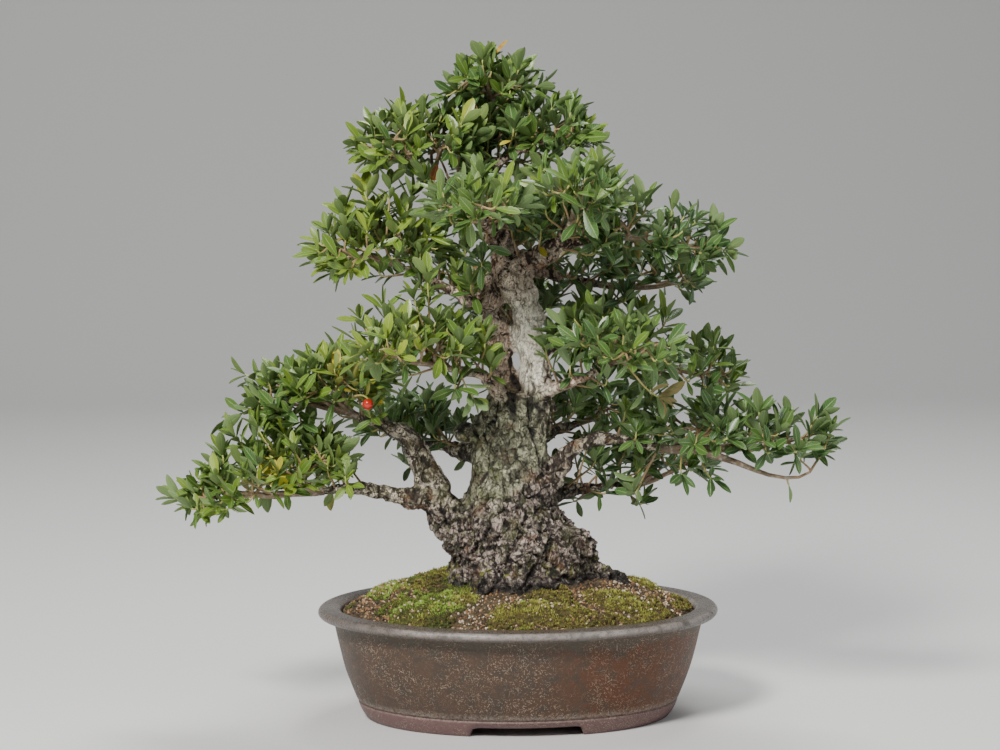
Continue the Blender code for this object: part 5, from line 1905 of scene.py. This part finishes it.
@dataclass
class LeafForm:
    """A spoon-shaped leaf, widest past its middle, folded a little along its midrib and bent back."""

    rows: tuple[float, ...] = (0.1, 0.34, 0.6, 0.8, 0.93)
    across: tuple[float, ...] = (-1.0, 0.0, 1.0)
    thickness: float = 0.4
    stalk: float = 0.04

    def half_width(self, along: Floats) -> Floats:
        """Half the width against the whole width: stalk + (0.5 - stalk) * sin(pi * t^1.35)^0.85."""
        return self.stalk + (0.5 - self.stalk) * np.clip(np.sin(math.pi * along**1.35), 0.0, 1.0) ** 0.85

    def point_count(self) -> int:
        """How many points a leaf has: those of its upper side, its keel, its base and its tip."""
        return len(self.rows) * (len(self.across) + 1) + 2

    def faces(self) -> tuple[list[Ints], Floats]:
        """One leaf's faces, those with four sides first, and in both the upper side first.

        Returns:
            Its four-sided faces and its triangles, and 1 for each that lies on its underside.
        """
        rows, columns = len(self.rows), len(self.across)
        keel = rows * columns
        base, tip = keel + rows, keel + rows + 1
        left, right = np.arange(rows) * columns, np.arange(rows) * columns + columns - 1
        spine = keel + np.arange(rows)
        upper = grid_faces(rows, columns, False)
        lower_left = np.stack([left[:-1], left[1:], spine[1:], spine[:-1]], axis=-1)
        lower_right = np.stack([spine[:-1], spine[1:], right[1:], right[:-1]], axis=-1)
        first, last = np.arange(columns), np.arange(columns) + (rows - 1) * columns
        ends = [[base, b, a] for a, b in zip(first, first[1:])]
        ends += [[a, b, tip] for a, b in zip(last, last[1:])]
        under_ends = [
            [base, left[0], spine[0]], [base, spine[0], right[0]],
            [left[-1], tip, spine[-1]], [spine[-1], tip, right[-1]],
        ]
        quads = np.concatenate([upper, lower_left, lower_right])
        triangles = np.array(ends + under_ends)
        under = [np.zeros(len(upper)), np.ones(2 * (rows - 1)), np.zeros(len(ends)), np.ones(4)]
        return [quads, triangles], np.concatenate(under)

    def points(
        self, length: Floats, width: Floats, arch: Floats, fold: Floats
    ) -> tuple[Floats, Floats, Floats]:
        """Each leaf's points, with x across it, y along it and z up from its face.

        y = t * length. x = u * half width(t) * width. z = -arch * length * t^2 + fold * |x|: it
        bends back along its length and folds up from its midrib.

        Args:
            length: Each leaf's length.
            width: Each leaf's width.
            arch: How far its tip bends back, against its length.
            fold: How steeply its halves rise.

        Returns:
            The points, and each point's place across and along the leaf.
        """
        t = np.repeat(self.rows, len(self.across))
        u = np.tile(self.across, len(self.rows))
        t = np.concatenate([t, self.rows, [0.0, 1.0]])
        u = np.concatenate([u, np.zeros(len(self.rows) + 2)])
        drop = np.zeros(len(t))
        drop[len(self.rows) * len(self.across):-2] = self.thickness
        x = u * self.half_width(t) * width[:, None]
        y = t * length[:, None]
        bend = -arch[:, None] * length[:, None] * t**2
        z = bend + fold[:, None] * np.abs(x) - drop
        return xyz(x, y, z), u, t


@dataclass
class Foliage:
    """One spray grown out: boughs, shoots that turn up to the light, and their leaves."""

    spray: Spray
    skeleton: Skeleton
    draw: Generator
    form: LeafForm = field(default_factory=LeafForm)
    boughs: int = 7
    area_per_shoot: float = 410.0
    limb_spacing: float = 4.2
    short_shoot: float = 17.0
    shoot_gap: float = 5.0
    underside: float = 0.65
    trunk_x: float = 8.0
    reach: float = 11.0
    lowest: float = -0.62
    leaf_length: float = 15.0
    leaf_sizes: Span = (8.0, 20.0)
    leaf_gap: float = 1.2
    twig_radius: float = 0.85
    tip_radius: float = 0.5
    # Where leaves are turning: middle, radius and tone.
    turning: tuple[tuple[float, float, float, float, float], ...] = (
        (-96, -20, 213, 13, 0.91), (-137, -30, 158, 11, 0.88), (90, -62, 207, 10, 1.0),
        (-58, -60, 284, 9, 0.86),
    )
    # Leaves on a shoot: how far behind its end each stands, and how far it leans out, in degrees.
    nodes: tuple[tuple[float, float], ...] = (
        (0.0, 14.0), (0.2, 30.0), (0.5, 40.0), (0.9, 50.0), (1.5, 55.0), (4.6, 52.0), (5.4, 56.0),
        (9.4, 56.0), (10.2, 60.0), (14.4, 62.0), (15.4, 64.0), (20.0, 66.0), (21.2, 70.0),
    )

    def axes(self) -> Floats:
        """The dome's own axes as columns: outwards from the trunk and drooping, across, and up.

        Returns:
            An array of 3 by 3.
        """
        heading = math.atan2(self.spray.middle[1], self.spray.middle[0] - self.trunk_x)
        droop = math.radians(self.spray.droop)
        c, s, cd, sd = math.cos(heading), math.sin(heading), math.cos(droop), math.sin(droop)
        turn = np.array([[c, -s, 0.0], [s, c, 0.0], [0.0, 0.0, 1.0]])
        return turn @ np.array([[cd, 0.0, sd], [0.0, 1.0, 0.0], [-sd, 0.0, cd]])

    def in_dome(self, ways: Floats, share: Floats) -> Floats:
        """Places in the dome. A share of 1 lies a leaf's reach inside its outline.

        Args:
            ways: Directions along the dome's own axes.
            share: How far out each place is, from 0 to 1.

        Returns:
            The places.
        """
        half = np.maximum(np.array(self.spray.half) - self.reach, 6.0)
        flat = half * np.where(ways[:, 2:] < 0, (1.0, 1.0, self.underside), 1.0)
        flat = flat * np.where(ways[:, :1] < 0, (self.spray.inner, 1.0, 1.0), 1.0)
        return np.array(self.spray.middle) + (flat * ways * share[:, None]) @ self.axes().T

    def grow_boughs(self) -> Floats:
        """Curves from the limb's end that fan out through the dome.

        Each is the Bezier curve start, start + limb's way, a low middle, end, plus a small wobble.

        Returns:
            An array of boughs by points by 3.
        """
        spray, draw = self.spray, self.draw
        limb = spray.line()[:, :3]
        way = unit(limb[-1] - limb[-2])
        start = limb[-1] - way * 2.0
        even = (np.arange(self.boughs) + 0.5) * math.tau / self.boughs
        azimuth = even + draw.normal(0.0, 0.2, self.boughs)
        rise = 0.1 + 0.3 * draw.random(self.boughs)
        ways = unit(xyz(np.cos(azimuth), np.sin(azimuth), rise))
        ends = self.in_dome(ways, 0.62 + 0.12 * draw.random(self.boughs))
        length = np.linalg.norm(ends - start, axis=1, keepdims=True)
        low = np.array(spray.middle) - UP * spray.half[2] * 0.25
        second = start + way * length * 0.35
        third = (low + ends) / 2 - UP * 2.0
        curves = [np.broadcast_to(start, ends.shape), second, third, ends]
        if spray.bough:
            curves = [np.vstack([curve, corner]) for curve, corner in zip(curves, spray.bough)]
        path = bezier(*curves, 9)
        wobble = np.stack([Noise(80 + k).smooth(path, 9.0) for k in range(3)], axis=-1)
        return path + wobble * 1.6 * np.sin(np.linspace(0.0, math.pi, 9))[None, :, None]

    def grow_shoots(self, boughs: Floats) -> Floats:
        """Curves from the nearest fitting place on a bough to a tip in the dome, turned up at the end.

        Tips lie on a spiral that covers the dome evenly, most near its outside.

        Args:
            boughs: The spray's boughs.

        Returns:
            An array of shoots by points by 3.
        """
        spray, draw = self.spray, self.draw
        length, width, height = spray.half[0] * (1.0 + spray.inner) / 2, *spray.half[1:]
        area = math.pi * (length * width + (length + width) * height)
        count = round(area * spray.density / self.area_per_shoot)
        place = (np.arange(count) + 0.5) / count
        rise = self.lowest + (0.99 - self.lowest) * place
        azimuth = np.arange(count) * GOLDEN_TURN + draw.normal(0.0, 0.12, count)
        flat = np.sqrt(1.0 - rise**2)
        ways = xyz(flat * np.cos(azimuth), flat * np.sin(azimuth), rise)
        chance, outer, inner = draw.random((3, count))
        share = np.where(chance < 0.66, 0.88 + 0.14 * outer, 0.4 + 0.5 * inner)
        tips = self.in_dome(ways, share)
        tips = np.concatenate([tips, np.array(spray.reaching, float).reshape(-1, 4)[:, :3]])
        count = len(tips)
        outward = unit(tips - np.array(spray.middle))
        stems, onward = boughs[:, 2:], unit(np.gradient(boughs, axis=1))[:, 2:]
        spots, tangents = stems.reshape(-1, 3), onward.reshape(-1, 3)
        gap = tips[:, None] - spots[None]
        far = np.linalg.norm(gap, axis=2)
        forward = np.einsum("sbk,bk->sb", gap / np.maximum(far, 1e-9)[:, :, None], tangents)
        best = (far * (1.0 + 0.9 * (1.0 - forward)) + 400.0 * (far < 5.0)).argmin(axis=1)
        root, tangent = spots[best], tangents[best]
        reach = far[np.arange(count), best][:, None]
        end_way = unit(outward * 0.7 + UP * 0.6 + draw.normal(0.0, 0.18, (count, 3)))
        if spray.reaching:
            onwards = slice(count - len(spray.reaching), count)
            end_way[onwards] = unit(unit(tips - root)[onwards] + UP * 0.25)
        second, third = root + tangent * reach * 0.35, tips - end_way * np.minimum(reach * 0.5, 15.0)
        return bezier(root, second, third, tips, 8)

    def grow_limb_shoots(self) -> Floats:
        """Short shoots in a spiral along the limb itself, all turned up to the light.

        Returns:
            An array of shoots by points by 3.
        """
        line, bare = self.spray.line(), self.spray.bare
        steps = np.linalg.norm(np.diff(line[:, :3], axis=0), axis=1)
        walked = np.concatenate([[0.0], np.cumsum(steps)])
        count = max(1, int(walked[-1] * (1.0 - bare) / self.limb_spacing))
        at = walked[-1] * (bare + (1.0 - bare) * (np.arange(count) + self.draw.random(count)) / count)
        places = (np.interp(at[:, None] + (0.0, 4.0, -4.0), walked, line[:, axis]) for axis in range(3))
        spot, ahead, behind = np.stack(list(places), axis=-1).transpose(1, 0, 2)
        way = unit(ahead - behind)
        side = unit(np.cross(way, ASKEW))
        spin = (np.arange(count) * GOLDEN_TURN)[:, None]
        out = unit(np.cos(spin) * side + np.sin(spin) * np.cross(way, side) + UP * 0.75)
        length = self.short_shoot * (1.0 + self.draw.random((count, 1)))
        tips = spot + unit(out + way * 0.35 + UP * 0.25) * length
        middle = (spot + tips) / 2 + out * 4.0
        paths = bezier(spot, middle, tips - UP * 8.0, tips, 8)
        clear, _ = self.skeleton.nearest(tips)
        return paths[clear > self.shoot_gap]

    def on_shoots(self, shoots: Floats) -> tuple[Floats, Floats, Floats, Floats]:
        """Where leaves may grow on the shoots.

        Args:
            shoots: The shoots' paths.

        Returns:
            Each leaf's foot, the shoot's way there, how far behind the shoot's end it stands, and how
            long the shoot is.
        """
        count = len(shoots)
        steps = np.linalg.norm(np.diff(shoots, axis=1), axis=2)
        walked = np.concatenate([np.zeros((count, 1)), np.cumsum(steps, axis=1)], axis=1)
        total = walked[:, -1:]
        back = np.array(self.nodes)[:, 0] * (0.85 + 0.3 * self.draw.random((count, 1)))
        at = np.clip((total - back) / total, 0.0, 1.0) * (shoots.shape[1] - 1)
        low = np.minimum(at.astype(int), shoots.shape[1] - 2)
        part = (at - low)[:, :, None]
        row = np.arange(count)[:, None]
        here, ahead = shoots[row, low], shoots[row, low + 1]
        return here * (1 - part) + ahead * part, unit(ahead - here), back, total

    def tones(self, roots: Floats) -> Floats:
        """How each leaf looks: by its spray's tone, its place, its age and where leaves are turning.

        Args:
            roots: The leaves' feet, as an array of shoots by leaves by 3.

        Returns:
            The tones, from 0 to 1.
        """
        spray, draw = self.spray, self.draw
        behind = np.array(self.nodes)[:, 0]
        count, shape = len(roots), roots.shape[:2]
        young = draw.normal(0.0, 0.09, (count, 1)) + 0.1 * (behind < 0.5)
        lift = (roots[:, :, 2] - spray.middle[2]) / spray.half[2]
        tone = spray.tone.value + young + draw.normal(0.0, 0.05, shape) + 0.1 * np.clip(lift, -1.5, 1.0)
        old = draw.random(shape) < 0.0008 + 0.034 * (behind > 12.0)
        tone = np.where(old, 0.9 + 0.1 * draw.random(shape) ** 2, np.clip(tone, 0.0, 0.82))
        for x, y, z, radius, turned in self.turning:
            near = np.linalg.norm(roots - (x, y, z), axis=-1) < radius
            tone = np.where(near & (draw.random(shape) < 0.6), turned, tone)
        return tone

    def grow_leaves(self, shoots: Floats, leafy: Ints) -> Surface:
        """Leaves in a rosette at each shoot's end and in turn down its last stretch.

        A leaf's way is cos(lean) * shoot's way + sin(lean) * outwards, lifted a little to the light,
        and its face looks along the shoot.

        Args:
            shoots: The shoots' paths.
            leafy: The most leaves that each may have.

        Returns:
            The leaves as one surface, with marks across, along, tone and under.
        """
        draw = self.draw
        behind, leans = np.array(self.nodes).T
        count, per_shoot = len(shoots), len(self.nodes)
        roots, way, back, total = self.on_shoots(shoots)
        side = unit(np.cross(way, ASKEW))
        spin = np.arange(per_shoot) * GOLDEN_TURN + random_angles(draw, (count, 1))
        spin = (spin + draw.normal(0.0, 0.2, spin.shape))[:, :, None]
        out = np.cos(spin) * side + np.sin(spin) * np.cross(way, side)
        lean = np.radians(leans + draw.normal(0.0, 8.0, back.shape))[:, :, None]
        blade = unit(way * np.cos(lean) + out * np.sin(lean) + UP * 0.12)
        size = self.leaf_length - 0.12 * behind + draw.normal(0.0, 2.0, back.shape)
        size = size * (1.0 - 0.3 * (leans < 20.0)) * (0.9 + 0.2 * draw.random((count, 1)))
        size = np.clip(size, *self.leaf_sizes)
        kept = (back < total - 5.0) & (draw.random(back.shape) < 0.93)
        kept &= np.arange(per_shoot) < leafy[:, None]
        for share in (0.55, 1.0):
            gap, _ = self.skeleton.nearest((roots + blade * size[:, :, None] * share).reshape(-1, 3))
            kept &= (gap > self.leaf_gap).reshape(kept.shape)
        facing = unit(way * 0.75 + UP * 0.5 + draw.normal(0.0, 0.3, blade.shape))
        facing = unit(facing - (facing * blade).sum(axis=2, keepdims=True) * blade)
        tone = self.tones(roots)
        roots, blade, facing, size, tone = (a[kept] for a in (roots, blade, facing, size, tone))
        leaves = len(roots)
        width = size * np.clip(0.36 + 0.03 * draw.normal(size=leaves), 0.28, 0.44)
        arch, fold = 0.07 + 0.07 * draw.normal(size=leaves), 0.22 + 0.1 * draw.random(leaves)
        local, across, along = self.form.points(size, width, arch, fold)
        frames = np.stack([np.cross(blade, facing), blade, facing], axis=1)
        faces, under = self.form.faces()
        surface = repeated(local @ frames + roots[:, None], faces)
        surface.point_marks = {
            "across": np.tile(across, leaves),
            "along": np.tile(along, leaves),
            "tone": np.repeat(tone, local.shape[1]),
        }
        quads = len(faces[0])
        blocks = [np.tile(block, leaves) for block in (under[:quads], under[quads:])]
        surface.face_marks["under"] = np.concatenate(blocks)
        return surface

    def build(self, finishes: Finishes) -> int:
        """The spray's twigs and leaves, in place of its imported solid.

        Args:
            finishes: The materials.

        Returns:
            How many leaves it has.
        """
        spray = self.spray
        boughs = self.grow_boughs()
        shoots = np.concatenate([self.grow_limb_shoots(), self.grow_shoots(boughs)])
        leafy = np.full(len(shoots), len(self.nodes))
        if spray.reaching:
            leafy[-len(spray.reaching):] = [tip[3] for tip in spray.reaching]
        taper = np.linspace(1.0, 0.0, boughs.shape[1]) ** 2.2
        radii = self.twig_radius + (spray.line()[-1, 3] * 0.8 - self.twig_radius) * taper
        thick = tubes(boughs, np.broadcast_to(radii, boughs.shape[:2]), 7)
        radii = np.linspace(self.twig_radius, self.tip_radius, shoots.shape[1])
        slender = tubes(shoots, np.broadcast_to(radii, shoots.shape[:2]), 5)
        thick.point_marks["youth"] = 0.35 * thick.point_marks.pop("along")
        slender.point_marks["youth"] = 0.3 + 0.7 * slender.point_marks.pop("along") ** 1.5
        settle(make_piece("twigs_" + spray.name, joined([thick, slender]), finishes.twig, 80.0))
        leaves = self.grow_leaves(shoots, leafy)
        piece = make_piece("leaves_" + spray.name, leaves, finishes.leaf, 70.0)
        settle(piece, ["spray_" + spray.name])
        return len(leaves.points) // self.form.point_count()


def bezier(a: Floats, b: Floats, c: Floats, d: Floats, steps: int) -> Floats:
    """Bezier curves: (1-t)^3 a + 3t(1-t)^2 b + 3t^2(1-t) c + t^3 d.

    Args:
        a: Where the curves start, as an array of curves by 3.
        b: Their first inner points.
        c: Their second inner points.
        d: Where they end.
        steps: How many points each gets.

    Returns:
        An array of curves by points by 3.
    """
    t = np.linspace(0.0, 1.0, steps)[None, :, None]
    a, b, c, d = (corner[:, None] for corner in (a, b, c, d))
    return (1 - t) ** 3 * a + 3 * t * (1 - t) ** 2 * b + 3 * t**2 * (1 - t) * c + t**3 * d


@dataclass
class Berry:
    """One ripe fruit and the bent stalk that bears it."""

    middle: Place = (-85.0, -31.0, 201.0)
    radius: float = 3.3
    stretch: float = 1.06
    dimple: float = 0.1
    nub: float = 0.15
    stalk: tuple[Place, ...] = (
        (-98.0, -8.0, 199.0), (-96.0, -18.0, 204.0), (-88.0, -28.0, 208.5), (-85.0, -31.0, 204.2),
    )

    def build(self, finishes: Finishes) -> None:
        """A ball with a shallow dimple at its top and a small nub below, and its stalk.

        Args:
            finishes: The materials.
        """
        lift = np.linspace(-1.0, 1.0, 34)[1:-1, None] * math.pi / 2
        dimple = 1.0 - self.dimple * np.exp(-(((math.pi / 2 - lift) / 0.3) ** 2))
        tall = self.radius * self.stretch
        x, y = on_oval((0.0, 0.0), (self.radius, self.radius), dimple * np.cos(lift), full_turn(44))
        foot, top = (0.0, 0.0, -tall - self.nub), (0.0, 0.0, tall * (1.0 - self.dimple))
        surface = closed_rings(xyz(x, y, tall * dimple * np.sin(lift)), foot, top)
        surface.points += self.middle
        settle(make_piece("ripe_berry", surface, finishes.berry), ["berry"])
        stalk = tubes(bezier(*np.array(self.stalk)[:, None], 10), np.linspace(1.0, 0.5, 10)[None], 8)
        stalk.point_marks["youth"] = 0.4 + 0.5 * stalk.point_marks.pop("along")
        settle(make_piece("berry_stalk", stalk, finishes.twig))


@dataclass(frozen=True)
class Softbox:
    """A square studio light: where it stands, what it looks at, its side in metres and its power."""

    name: str
    place: Place
    target: Place
    side: float
    power: float
    colour: Colour = (1.0, 1.0, 1.0)


@dataclass
class Studio:
    """The pale floor that turns up into a backdrop, the soft lights, and the camera.

    The camera's and the lights' places and sizes are in metres, the floor's in millimetres.
    """

    lens: float = 104.5
    distance: float = 1.8
    camera_height: float = 0.4057
    azimuth: float = -4.5
    sideways: float = 0.049
    tilt: float = 6.05
    sensor: float = 36.0
    farthest: float = 50.0
    # The floor: where it begins and turns up, the turn's radius, its height and its half width.
    floor_front: float = -4000.0
    floor_back: float = 1700.0
    floor_bend: float = 900.0
    floor_top: float = 4200.0
    floor_half: float = 5000.0
    floor_colour: Colour = (0.72, 0.72, 0.71)
    sky: tuple[float, float, float, float] = (0.9, 0.95, 1.0, 1.0)
    sky_strength: float = 0.13
    lights: tuple[Softbox, ...] = (
        Softbox("key", (-0.75, -1.3, 1.36), (0.0, 0.0, 0.2), 0.4, 51.0, (1.0, 0.98, 0.95)),
        Softbox("fill", (1.4, -1.0, 0.9), (0.0, 0.0, 0.2), 1.0, 6.5, (0.95, 0.98, 1.0)),
        Softbox("top", (0.3, 0.5, 1.7), (0.0, 0.0, 0.2), 0.8, 23.0),
    )

    def build_floor(self) -> None:
        """A sheet that lies flat, then turns up through a quarter circle into an upright wall."""
        turn = np.linspace(0.0, math.pi / 2, 17)
        back, bend = self.floor_back, self.floor_bend
        run = np.concatenate([[self.floor_front, 0.0], back + bend * np.sin(turn), [back + bend]])
        rise = np.concatenate([[0.0, 0.0], bend * (1.0 - np.cos(turn)), [self.floor_top]])
        across = np.array([-self.floor_half, self.floor_half])
        points = xyz(across, run[:, None], rise[:, None])
        finish = Graph("pale_floor").done(base_color=self.floor_colour, roughness=0.8)
        floor = make_piece("floor", Surface(points.reshape(-1, 3), [grid_faces(len(run), 2, False)]), finish)

    def build_lights(self) -> None:
        """Each softbox as an area light turned to its target."""
        for box in self.lights:
            light = bpy.data.lights.new(box.name, "AREA")
            light.size = box.side
            light.energy = box.power
            light.color = box.colour
            lamp = bpy.data.objects.new(box.name, light)
            lamp.location = box.place
            away = np.array(box.place) - np.array(box.target)
            pitch = math.atan2(math.hypot(away[0], away[1]), away[2])
            lamp.rotation_euler = (pitch, 0.0, math.atan2(away[1], away[0]) + math.pi / 2)
            bpy.context.scene.collection.objects.link(lamp)
        world = bpy.data.worlds.new("studio")
        world.use_nodes = True
        sky = world.node_tree.nodes["Background"]
        sky.inputs["Color"].default_value = self.sky
        sky.inputs["Strength"].default_value = self.sky_strength
        bpy.context.scene.world = world

    def build_camera(self) -> None:
        """A camera at the height and angle that the tree was seen from."""
        view = bpy.data.cameras.new("camera")
        view.lens = self.lens
        view.sensor_width = self.sensor
        view.clip_end = self.farthest
        camera = bpy.data.objects.new("camera", view)
        turn = math.radians(self.azimuth)
        x, y = self.distance * math.sin(turn), -self.distance * math.cos(turn)
        camera.location = (x, y, self.camera_height)
        camera.rotation_euler = (math.radians(90.0 - self.tilt), 0.0, turn + math.radians(self.sideways))
        bpy.context.scene.collection.objects.link(camera)
        bpy.context.scene.camera = camera

    def build(self) -> None:
        """Floor, lights and camera."""
        self.build_camera()
        self.build_floor()
        self.build_lights()


def main() -> None:
    """Builds the studio and the tree, piece by piece."""
    logging.basicConfig(level=logging.INFO, format="%(message)s")
    Studio().build()
    finishes = Finishes()
    for side in ("left", "right"):
        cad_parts["drain_screen_" + side].material_slots[0].material = finishes.net
    Pot().build(finishes.clay)
    Ground().build(finishes)
    skeleton = Skeleton.from_limbs()
    Wood(skeleton).build(finishes.bark)
    sprays = (Foliage(spray, skeleton, default_rng(100 + index)) for index, spray in enumerate(SPRAYS))
    LOG.info("%d leaves", sum(spray.build(finishes) for spray in sprays))
    Berry().build(finishes)


if __name__ == "__main__":
    main()
